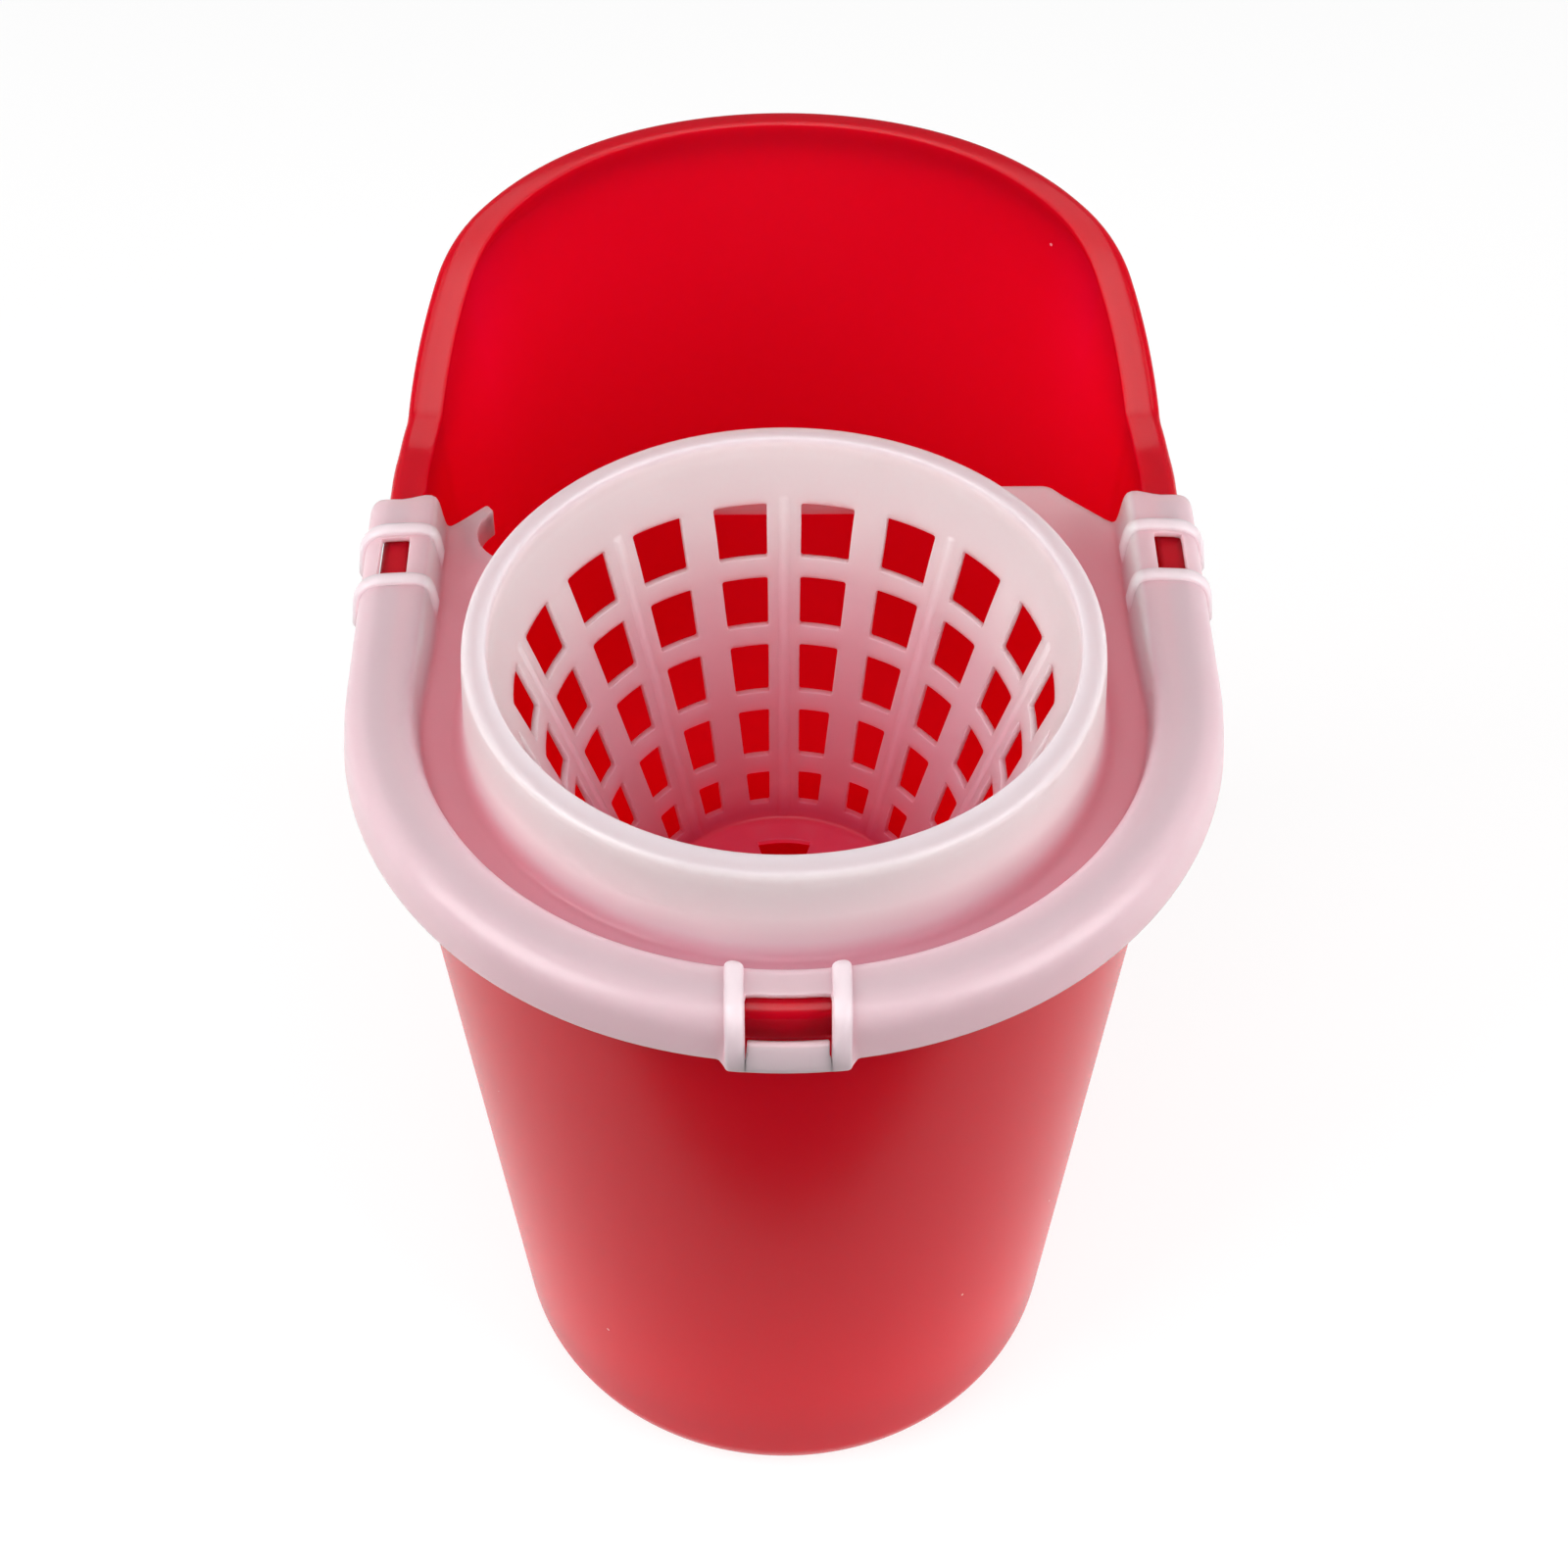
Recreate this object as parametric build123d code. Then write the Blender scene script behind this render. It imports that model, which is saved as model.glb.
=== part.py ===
from build123d import *
import math
import os

os.makedirs("parts", exist_ok=True)

# ---------------------------------------------------------------- dimensions
# All lengths in mm. Heights are above the floor. The drain cup's axis is the
# construction axis (x = 0, y = 0); everything moves back by Y_SHIFT at the end
# so that the origin is under the middle of the outline.

# bucket: stadium plan, two half cones joined by flat tapered sides
BASE_R = 99.0          # corner-free plan radius at the floor, before rounding
DRAFT = 0.0876         # wall flare, radius per height
SPREAD = 98.0          # distance between the two plan centres
WALL = 2.3             # moulded wall
FLOOR_T = 3.0          # bottom panel
FOOT_IN = 14.0         # foot ring width
FOOT_H = 2.0           # bottom panel stands this far above the ground
BOTTOM_FILLET = 21.0
RIM_Z = 319.9          # top of the low front rim
RIM_OUT = 7.2          # rolled flange stands this far outside the wall
RIM_T = 2.3            # flange thickness
RIM_LIP = 14.0         # depth of the turned-down edge
RIM_ROUND = 3.6        # rounding of the flange's outer edge
# side profile of the rim, from the level front to the tall back
RISE_Y = 110.0         # where the level rim ends
RISE1_A, RISE1_R, RISE1_L = 13.0, 40.0, 7.0
RISE2_A, RISE2_R, RISE2_L = 43.5, 8.0, 51.6
TOP1_A, TOP1_R = 14.0, 32.0
TOP2_A, TOP2_R = 1.0, 235.0

# wringer moulding
LIP_Z = 341.0          # datum height of the drain cup's lip
SKIN = 2.2             # moulded thickness
CUP_R = 93.1           # inner cone radius at the datum height
CUP_SLOPE = 0.34       # inner cone radius per height
CUP_FLOOR = -136.2     # inside floor, below the datum
LIP_R = 101.4          # outside of the lip
DECK_Z = -34.0         # top of the deck
TURN = 0.52            # deck and channel stand turned this much against the cup's holes, degrees
COLLAR_R = 102.6       # outside of the collar where it meets the deck
ROWS = [(-21.8, -40.6, 11.5), (-47.4, -64.7, 10.7), (-71.4, -88.7, 10.4),
        (-95.3, -112.3, 10.2), (-118.6, -130.2, 10.0)]   # top, bottom, upright bar between two holes
COLUMNS = 18           # hole columns round the cup
RIB_COUNT = 9          # raised ribs, one on every second bar
RIB_BEAD, RIB_SINK = 1.8, 1.0    # radius of the raised rib, and how deep its middle lies in the wall
DRAIN_COUNT, DRAIN_RI, DRAIN_RO, DRAIN_HALF = 6, 15.0, 36.3, 15.5

# channel that caps the bucket's front rim (radius in front, height under the datum);
# its outer half turns about a centre set back by CHAN_C, so it is that much wider at the sides
CHAN_C = 0.3
CHAN_END = 86.0        # the channel's straight sides run back to here
ARC_Y = 23.5           # its inner half stays round this far back, then runs straight
CHAN_INNER = [(116.5, -36.2), (116.5, -34.0), (119.3, -21.3), (120.7, -18.4), (122.4, -17.4), (127.6, -17.6),
              (127.6, -19.9), (123.4, -19.6), (122.5, -20.1), (121.6, -22.0), (118.8, -34.0), (118.8, -36.2)]
CHAN_OUTER = [(124.6, -17.5), (130.8, -17.8), (133.0, -18.3), (135.1, -19.3), (137.0, -20.6), (138.3, -22.4), (139.2, -24.6),
              (139.6, -26.8), (140.8, -36.4), (138.5, -36.4), (137.3, -26.9), (136.4, -23.9), (134.4, -21.4), (132.4, -20.4),
              (130.4, -20.0), (124.6, -19.8)]
BEAD_LINE = [(116.9, -32.2), (119.3, -21.3), (120.7, -18.4), (122.4, -17.4), (130.8, -17.8), (135.1, -19.3),
             (138.3, -22.4), (139.6, -26.8), (140.8, -37.0)]
BEAD_SPLIT = 126.0     # bead points further out than this follow the channel's outer half
BEAD_H = 1.9           # strengthening beads stand this proud of the channel
FRONT_BEADS = [(-18.45, -12.7), (12.7, 18.45)]   # x of the two front beads
SIDE_BEADS = [(41.9, 47.1), (66.3, 71.6)]      # y of the two beads on each side
FRONT_WINDOW = (-12.5, 12.5)                   # x of the opening that the snap tongue stands in
WINDOW_RI = 131.2      # inner edge of the front window
SIDE_WINDOW = (124.8, 133.2, 47.1, 63.8)       # x in, x out, y near, y far
SHOE_Z = (-39.4, -35.6)  # thick foot under the front beads
# snap tongue's section: free edge up, thick foot, hook turned in under the bucket's flange
CATCH_PTS = [(142.3, -39.4), (138.8, -39.4), (133.2, -38.5), (132.2, -37.8), (131.9, -37.0), (132.3, -36.3), (137.2, -36.1), (138.2, -34.8),
             (137.7, -31.0), (137.3, -28.8), (138.0, -27.8), (139.0, -27.6), (139.6, -28.2), (140.4, -30.4), (142.3, -34.6), (143.1, -37.0),
             (143.0, -38.4)]
CATCH_GAP = 0.7        # slit each side of the tongue

# deck's rear edge and the rest for a mop handle
REAR_Y = 108.3
REAR_PTS = [(115.0, 88.8), (97.9, 103.6), (92.5, REAR_Y)]
REAR_LIP = 11.0        # the rear edge turns down this far
NOTCH_X, NOTCH_Y, NOTCH_R = -88.5, 86.0, 15.0
NOTCH_TIP = [(-98.9, 96.8), (-101.2, 99.9)]      # blunt end of the tooth beside the notch

Y_SHIFT = 46.8         # construction axis to the middle of the outline


# ---------------------------------------------------------------- helpers
def stadium(offset, z0, z1):
    """Tapered stadium block between two heights, its wall moved out by offset."""
    r0 = BASE_R + DRAFT * z0 + offset
    r1 = BASE_R + DRAFT * z1 + offset
    h = z1 - z0
    half = Cone(r0, r1, h, arc_size=180, align=(Align.NONE, Align.NONE, Align.MIN))
    back = Pos(0, SPREAD, z0) * half
    front = Pos(0, 0, z0) * (Rot(0, 0, 180) * half)
    side = make_face(Polyline((-r0, z0), (r0, z0), (r1, z1), (-r1, z1), close=True))
    mid = extrude(Plane.XZ * side, amount=SPREAD, dir=(0, 1, 0))
    return front + mid + back


def rim_path(depth):
    """Edges of the rim's side profile, moved depth below the flange's top."""
    y, z, a = -260.0, RIM_Z, 0.0
    edges = []
    cur = [y, z]

    def at(p, ang):
        return (p[0] + depth * math.sin(ang), p[1] - depth * math.cos(ang))

    def line(length):
        nxt = [cur[0] + length * math.cos(a), cur[1] + length * math.sin(a)]
        edges.append(Line(at(cur, a), at(nxt, a)))
        return nxt

    def arc(radius, new):
        left = new > a
        s = 1.0 if left else -1.0
        c = (cur[0] - s * radius * math.sin(a), cur[1] + s * radius * math.cos(a))

        def on(t):
            return [c[0] + s * radius * math.sin(t), c[1] - s * radius * math.cos(t)]

        m, e = on((a + new) / 2), on(new)
        edges.append(ThreePointArc(at(cur, a), at(m, (a + new) / 2), at(e, new)))
        return e

    cur = line(RISE_Y + 260.0)
    for radius, ang, run in ((RISE1_R, RISE1_A, RISE1_L), (RISE2_R, RISE2_A, RISE2_L),
                             (TOP1_R, TOP1_A, 0), (TOP2_R, TOP2_A, 0)):
        ang = math.radians(ang)
        cur = arc(radius, ang)
        a = ang
        if run:
            cur = line(run)
    cur = line(80.0)
    return edges, at([-260.0, RIM_Z], 0.0), at(cur, a), cur[1]


def under_rim(depth):
    """Everything lower than the rim's profile, moved depth down."""
    edges, first, last, _ = rim_path(depth)
    low = -20.0
    edges = edges + [Line(last, (last[0], low)), Line((last[0], low), (first[0], low)), Line((first[0], low), first)]
    face = make_face(edges)
    return extrude(Plane.YZ * face, amount=260, both=True)


def spin(pts, a0=0.0, a1=360.0):
    """Solid of revolution about the cup's axis. Angle 0 is +X, 270 is the front."""
    face = Plane.XZ * make_face(Polyline(*pts, close=True))
    body = revolve(face, Axis.Z, revolution_arc=a1 - a0)
    return Rot(0, 0, a0) * body if a0 else body


def run_y(pts, side, y0, y1):
    """The same section as a straight run along Y on one side."""
    face = Plane.XZ * make_face(Polyline(*[(side * r, z) for r, z in pts], close=True))
    return Pos(0, y0, 0) * extrude(face, amount=y1 - y0, dir=(0, 1, 0))


def up(pts):
    return [(r, LIP_Z + z) for r, z in pts]


def slab_x(x0, x1):
    """Everything in front of the cup's axis between two x planes."""
    return Pos((x0 + x1) / 2, -100, LIP_Z) * Box(x1 - x0, 200, 200)


# ---------------------------------------------------------------- bucket
top_z = rim_path(0.0)[3]
z_hi = top_z + 6.0

shell = stadium(0.0, 0.0, z_hi)
shell = fillet(shell.edges().filter_by_position(Axis.Z, -0.01, 0.01), BOTTOM_FILLET)
wrap = stadium(RIM_OUT, RIM_Z - 40.0, z_hi)
wrap_in = stadium(RIM_OUT - RIM_T, RIM_Z - 40.0, z_hi)
hollow = stadium(-WALL, FLOOR_T + FOOT_H, z_hi + 1.0)
hollow = fillet(hollow.edges().filter_by_position(Axis.Z, FLOOR_T + FOOT_H - 0.01, FLOOR_T + FOOT_H + 0.01),
                BOTTOM_FILLET - WALL)

below = under_rim(0.0)
brim = wrap & below                                   # full-width rim block
round_edges = [e for e in brim.edges()
               if abs(e.center().Z - 0) > 0 and e.center().Z > RIM_Z - 1.5
               and not (e.geom_type == GeomType.LINE and abs(e.tangent_at(0.5).X) > 0.9)]
brim = fillet(round_edges, RIM_ROUND)
rim = brim - (under_rim(RIM_T) & wrap_in) - under_rim(RIM_LIP)   # thin flange with its turned-down edge
bucket = (shell & under_rim(1.1)) + rim - hollow
inner_r = BASE_R - BOTTOM_FILLET + 2.0 - FOOT_IN + 8.0
recess = (Pos(0, 0, -1) * Cylinder(inner_r, FOOT_H + 1.0, align=(Align.CENTER, Align.CENTER, Align.MIN))
          + Pos(0, SPREAD, -1) * Cylinder(inner_r, FOOT_H + 1.0, align=(Align.CENTER, Align.CENTER, Align.MIN))
          + Pos(0, SPREAD / 2, -1) * Box(2 * inner_r, SPREAD, FOOT_H + 1.0, align=(Align.CENTER, Align.CENTER, Align.MIN)))
bucket = bucket - recess

# ---------------------------------------------------------------- wringer
cone_t = SKIN * math.sqrt(1 + CUP_SLOPE ** 2)         # wall measured along the radius
floor_r = CUP_R + CUP_SLOPE * CUP_FLOOR
cup_pts = [
    (0.0, CUP_FLOOR), (floor_r, CUP_FLOOR),
    (CUP_R + CUP_SLOPE * -6.0, -6.0), (CUP_R + 0.2, -1.6), (CUP_R + 1.6, 0.6), (CUP_R + 3.9, 1.5),
    (LIP_R - 2.0, 1.5), (LIP_R - 0.5, 0.8), (LIP_R, -0.8),
    (COLLAR_R - 0.6, -28.0), (COLLAR_R, -31.2), (COLLAR_R + 1.4, -33.3), (COLLAR_R + 3.6, DECK_Z),
    (COLLAR_R + 3.6, DECK_Z - SKIN), (COLLAR_R - 1.6, DECK_Z - SKIN),
    (LIP_R - SKIN, -2.4), (LIP_R - SKIN - 1.4, -0.7), (CUP_R + 4.2, -0.7), (CUP_R + 2.8, -1.5),
    (CUP_R + cone_t + CUP_SLOPE * -6.0, -6.0),
    (floor_r + cone_t - 0.6, CUP_FLOOR - SKIN), (0.0, CUP_FLOOR - SKIN),
]
cup = spin(up(cup_pts))

# raised half-round ribs down the inside of the cone
rib_top, rib_bot = -19.6, CUP_FLOOR - 0.5
tilt = math.degrees(math.atan(CUP_SLOPE))
rib_len = (rib_top - rib_bot) / math.cos(math.radians(tilt))
rib = Cylinder(RIB_BEAD, rib_len, align=(Align.CENTER, Align.CENTER, Align.MIN)) + Pos(0, 0, rib_len) * Sphere(RIB_BEAD)
rib = Pos(CUP_R + CUP_SLOPE * rib_bot + RIB_SINK, 0, LIP_Z + rib_bot) * (Rot(0, tilt, 0) * rib)
slab = Pos(0, 0, LIP_Z + CUP_FLOOR - SKIN) * Cylinder(120, 160, align=(Align.CENTER, Align.CENTER, Align.MIN))
outside = spin(up([(floor_r + cone_t - 0.9 + CUP_SLOPE * -2.0, CUP_FLOOR - SKIN - 1.0), (140.0, CUP_FLOOR - SKIN - 1.0), (140.0, 0.0),
                   (CUP_R + cone_t - 0.4, 0.0)]))
ribs = [Rot(0, 0, 90 + 360.0 / RIB_COUNT * k) * rib for k in range(RIB_COUNT)]
cup = cup + [(r & slab) - outside for r in ribs]

# square drain holes, one column each side of every bar
cuts = []
pitch = 360.0 / COLUMNS
for hi, lo, bar in ROWS:
    r_mid = CUP_R + CUP_SLOPE * (hi + lo) / 2
    half = pitch / 2 - math.degrees(bar / 2 / r_mid)
    ra, rb = CUP_R + CUP_SLOPE * lo - 5.0, CUP_R + CUP_SLOPE * hi + 6.0
    hole = spin(up([(ra, lo), (rb, lo), (rb, hi), (ra, hi)]), 0.0, 2 * half)
    for k in range(COLUMNS):
        cuts.append(Rot(0, 0, 90.0 + pitch * (k + 0.5) - half) * hole)
# drain sectors in the cup's floor
sector = spin(up([(DRAIN_RI, CUP_FLOOR - 4.0), (DRAIN_RO, CUP_FLOOR - 4.0), (DRAIN_RO, CUP_FLOOR + 2.0), (DRAIN_RI, CUP_FLOOR + 2.0)]),
              0.0, 2 * DRAIN_HALF)
for k in range(DRAIN_COUNT):
    cuts.append(Rot(0, 0, 90.0 - DRAIN_HALF + 360.0 / DRAIN_COUNT * k) * sector)
cup = cup - cuts

# deck plate between the collar and the channel, open behind
side_x = REAR_PTS[0][0]
right = [(side_x, ARC_Y)] + REAR_PTS
left = [(-x, y) for x, y in right]
deck_edge = [Line(p, q) for p, q in zip(right[:-1], right[1:])] + [Line(right[-1], left[-1])]
deck_edge += [Line(p, q) for p, q in zip(left[:-1], left[1:])]
deck_edge += [ThreePointArc(left[0], (0, -math.hypot(side_x, ARC_Y)), right[0])]
deck_plan = make_face(deck_edge)


def notch(grow):
    """Plan of the round handle rest, open at the back."""
    (x0, y0), (x1, y1) = [(x - 0.8 * grow, y - 0.6 * grow) for x, y in NOTCH_TIP]
    right_x = NOTCH_X + NOTCH_R + grow
    mouth = make_face(Polyline((NOTCH_X, NOTCH_Y), (x0, y0), (x1, y1), (x1, 130.0), (right_x, 130.0), (right_x, NOTCH_Y), close=True))
    return Pos(NOTCH_X, NOTCH_Y) * Circle(NOTCH_R + grow) + mouth


notch_plan, notch_wide = notch(0.0), notch(SKIN)
deck_cut = deck_plan - notch_plan - Circle(COLLAR_R + 1.5)
deck = Pos(0, 0, LIP_Z + DECK_Z - SKIN) * extrude(deck_cut, amount=SKIN)
# turned-down edge along the back and round the handle rest
inset = make_face(Polyline((114.2, 60), (114.2, 86.6), (96.6, 101.8), (91.5, REAR_Y - SKIN),
                           (-91.5, REAR_Y - SKIN), (-96.6, 101.8), (-114.2, 86.6), (-114.2, 60), close=True)) - notch_wide
zone = make_face(Polyline((113.6, 66), (113.6, 120), (-113.6, 120), (-113.6, 66), close=True))
edge_plan = (deck_cut & zone) - inset
edge_plan = edge_plan - Pos(0, 60) * Rectangle(400, 15)
edge = Pos(0, 0, LIP_Z + DECK_Z - REAR_LIP) * extrude(edge_plan, amount=REAR_LIP)

# channel over the rim: half round in front, straight along the sides
past = math.asin(ARC_Y / CHAN_INNER[0][0])            # the round part ends on a mitre at this angle behind the side
mitre = math.cos(past)
behind = Pos(0, 0, LIP_Z - 60) * extrude(make_face(Polyline(
    (0, 0), (300 * mitre, 300 * math.sin(past)), (300, 300), (-300, 300), (-300 * mitre, 300 * math.sin(past)), close=True)), amount=120)


def inner_side(pts):
    """Section of the straight run that meets the round inner half on the mitre."""
    return [(r * mitre, z) for r, z in pts]


inner = up(CHAN_INNER)
outer = up([(r + CHAN_C, z) for r, z in CHAN_OUTER])
channel = spin(inner, 180.0 - math.degrees(past), 360.0 + math.degrees(past))
for side in (1, -1):
    channel = channel + (run_y(inner_side(inner), side, 0.0, CHAN_END) & behind)
channel = channel + Pos(0, CHAN_C, 0) * spin(outer, 180.0, 360.0)
channel = channel + run_y(outer, 1, CHAN_C, CHAN_END) + run_y(outer, -1, CHAN_C, CHAN_END)


# strengthening beads, the channel's section grown outwards
def grown(pts, by):
    out = []
    for i, p in enumerate(pts):
        a = pts[max(i - 1, 0)]
        b = pts[min(i + 1, len(pts) - 1)]
        dx, dz = b[0] - a[0], b[1] - a[1]
        n = math.hypot(dx, dz)
        out.append((p[0] - dz / n * by, p[1] + dx / n * by))
    return out


def bead_section(line):
    return up(grown(line, BEAD_H) + grown(line, -1.2)[::-1])


front_bead = spin(bead_section(BEAD_LINE), 255.0, 285.0)
side_bead = bead_section([(r + CHAN_C, z) if r > BEAD_SPLIT else inner_side([(r, z)])[0] for r, z in BEAD_LINE])
beads = [front_bead & slab_x(x0, x1) for x0, x1 in FRONT_BEADS]
for y0, y1 in SIDE_BEADS:
    beads.append(run_y(side_bead, 1, y0, y1))
    beads.append(run_y(side_bead, -1, y0, y1))

# openings through the channel
gap = spin(up([(WINDOW_RI, -60.0), (150.0, -60.0), (150.0, -5.0), (WINDOW_RI, -5.0)]), 255.0, 285.0) & slab_x(*FRONT_WINDOW)
sx0, sx1, sy0, sy1 = SIDE_WINDOW
wins = [Pos(s * (sx0 + sx1) / 2, (sy0 + sy1) / 2, LIP_Z - 18.0) * Box(sx1 - sx0, sy1 - sy0, 12.0) for s in (1, -1)]
channel = channel - gap - wins

# thick foot under each of the front beads, open between them for the snap tongue
shoe_pts = up([(138.8, SHOE_Z[1]), (142.3, SHOE_Z[1] + 1.0), (143.1, -37.0), (143.0, -38.4), (142.3, SHOE_Z[0]), (138.8, SHOE_Z[0])])
shoe = spin(shoe_pts, 255.0, 285.0) & slab_x(FRONT_BEADS[0][0] - 0.9, FRONT_BEADS[1][1] + 0.9)
shoe = shoe - slab_x(*FRONT_WINDOW)

wringer = Rot(0, 0, TURN) * (channel + beads + shoe + deck + edge) + cup

# ---------------------------------------------------------------- snap tongue
front_catch = Rot(0, 0, TURN) * (spin(up(CATCH_PTS), 255.0, 285.0) & slab_x(FRONT_WINDOW[0] + CATCH_GAP, FRONT_WINDOW[1] - CATCH_GAP))

# ---------------------------------------------------------------- write out
move = Pos(0, -Y_SHIFT, 0)
for name, body in (("bucket", bucket), ("wringer", wringer), ("front_catch", front_catch)):
    body = move * body
    print(name, "volume", round(body.volume / 1000, 1), "cm3", "solids", len(body.solids()), body.bounding_box())
    export_step(body, f"parts/{name}.step")
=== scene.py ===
import math

import bmesh
import bpy
import numpy as np
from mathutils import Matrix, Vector


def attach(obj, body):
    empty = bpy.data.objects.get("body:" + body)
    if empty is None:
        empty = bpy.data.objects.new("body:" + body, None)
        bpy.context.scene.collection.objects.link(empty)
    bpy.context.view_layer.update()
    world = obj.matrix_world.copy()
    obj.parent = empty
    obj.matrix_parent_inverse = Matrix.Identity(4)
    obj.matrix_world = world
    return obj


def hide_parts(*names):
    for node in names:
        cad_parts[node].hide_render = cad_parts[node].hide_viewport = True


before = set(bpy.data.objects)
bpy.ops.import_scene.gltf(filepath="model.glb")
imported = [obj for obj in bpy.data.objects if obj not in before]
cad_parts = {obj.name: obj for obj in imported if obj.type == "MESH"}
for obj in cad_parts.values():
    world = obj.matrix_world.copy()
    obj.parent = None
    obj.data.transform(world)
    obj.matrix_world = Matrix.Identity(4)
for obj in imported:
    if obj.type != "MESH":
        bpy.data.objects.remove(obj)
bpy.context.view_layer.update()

# Working lengths are in mm. The drain cup's axis is x = y = 0 and the bucket stands on z = 0;
# everything goes back by Y_SHIFT into the part's own frame, in metres.
Y_SHIFT = 46.8
LIP_Z = 341.0
rad, deg = math.radians, math.degrees


# ---------------------------------------------------------------- mesh helpers
class Skin:
    """Points and faces of one closed surface, welded at the end."""

    def __init__(self):
        self.co, self.faces = [], []

    def add(self, pts):
        pts = np.asarray(pts, float)
        n = len(self.co)
        flat = pts.reshape(-1, 3)
        self.co.extend(map(tuple, flat))
        return np.arange(n, n + len(flat)).reshape(pts.shape[:-1])

    def quads(self, idx, wrap=False, skip=None):
        rows, cols = idx.shape
        for r in range(rows - 1):
            for c in range(cols if wrap else cols - 1):
                if skip is not None and skip[r, c]:
                    continue
                d = (c + 1) % cols
                self.faces.append((idx[r, c], idx[r, d], idx[r + 1, d], idx[r + 1, c]))

    def band(self, loops, closed=True):
        """Quads between successive loops of the same length."""
        self.quads(np.array(loops), wrap=closed)

    def face(self, ids):
        self.faces.append(tuple(int(i) for i in ids))

    def build(self, name, fills=(), z0=0.0, sharp=42.0):
        co = np.array(self.co)
        co = (co + np.array([0.0, -Y_SHIFT, z0])) * 0.001
        bm = bmesh.new()
        verts = [bm.verts.new(c) for c in co]
        for f in self.faces:
            ids = []
            for i in f:
                if i not in ids:
                    ids.append(i)
            if len(ids) > 2:
                try:
                    bm.faces.new([verts[i] for i in ids])
                except ValueError:
                    pass
        for loops in fills:
            edges = []
            for loop in loops:
                n = len(loop)
                for k in range(n):
                    a, b = verts[int(loop[k])], verts[int(loop[(k + 1) % n])]
                    if (a.co - b.co).length < 1e-8:
                        continue
                    e = bm.edges.get((a, b)) or bm.edges.new((a, b))
                    edges.append(e)
            bmesh.ops.triangle_fill(bm, use_beauty=True, use_dissolve=False, edges=list(set(edges)))
        bmesh.ops.remove_doubles(bm, verts=bm.verts[:], dist=2e-6)
        bmesh.ops.dissolve_degenerate(bm, dist=1e-7, edges=bm.edges[:])
        loose = [v for v in bm.verts if not v.link_faces]
        bmesh.ops.delete(bm, geom=loose, context="VERTS")
        bmesh.ops.recalc_face_normals(bm, faces=bm.faces[:])
        odd = sum(1 for e in bm.edges if len(e.link_faces) != 2)
        vol = bm.calc_volume(signed=True)
        if vol < 0:
            bmesh.ops.reverse_faces(bm, faces=bm.faces[:])
        print(f"mesh {name}: verts {len(bm.verts)} faces {len(bm.faces)} open edges {odd} volume {abs(vol) * 1e6:.1f} cm3")
        mesh = bpy.data.meshes.new(name)
        bm.to_mesh(mesh)
        bm.free()
        for p in mesh.polygons:
            p.use_smooth = True
        mesh.set_sharp_from_angle(angle=rad(sharp))
        obj = bpy.data.objects.new(name, mesh)
        bpy.context.scene.collection.objects.link(obj)
        wn = obj.modifiers.new("even_normals", "WEIGHTED_NORMAL")
        wn.keep_sharp = True
        wn.weight = 60
        return obj


def smooth(a, b, x):
    t = np.clip((np.asarray(x, float) - a) / (b - a), 0.0, 1.0)
    return t * t * (3 - 2 * t)


def arc_pts(cx, cz, r, a0, a1, n):
    return [(cx + r * math.cos(rad(a)), cz + r * math.sin(rad(a))) for a in np.linspace(a0, a1, n)]


# ---------------------------------------------------------------- bucket
BASE_R, DRAFT, SPREAD, WALL = 99.0, 0.0876, 98.0, 2.3
FLOOR_T, FOOT_H, BOT_R = 3.0, 2.0, 21.0
RIM_Z, RIM_OUT, RIM_T, RIM_LIP = 319.9, 7.2, 2.3, 14.0


def rim_table():
    """Side profile of the rim as (y, z, slope), sampled finely."""
    out = []
    cur, a = [-260.0, RIM_Z], 0.0

    def line(length):
        n = max(2, int(length / 2))
        for t in np.linspace(0, 1, n):
            out.append((cur[0] + t * length * math.cos(a), cur[1] + t * length * math.sin(a), a))
        return [cur[0] + length * math.cos(a), cur[1] + length * math.sin(a)]

    cur = line(110.0 + 260.0)
    for radius, ang, run in ((40.0, 13.0, 7.0), (8.0, 43.5, 46.85), (50.0, 14.0, 0), (193.0, 1.0, 0)):
        new = rad(ang)
        s = 1.0 if new > a else -1.0
        c = (cur[0] - s * radius * math.sin(a), cur[1] + s * radius * math.cos(a))
        for t in np.linspace(a, new, 24):
            out.append((c[0] + s * radius * math.sin(t), c[1] - s * radius * math.cos(t), t))
        cur, a = [out[-1][0], out[-1][1]], new
        if run:
            cur = line(run)
    cur = line(80.0)
    tab = np.array(out)
    keep = np.concatenate([[True], np.diff(tab[:, 0]) > 1e-9])
    return tab[keep]


RIM = rim_table()


def rim_z(y):
    return np.interp(y, RIM[:, 0], RIM[:, 1]), np.interp(y, RIM[:, 0], RIM[:, 2])


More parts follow.
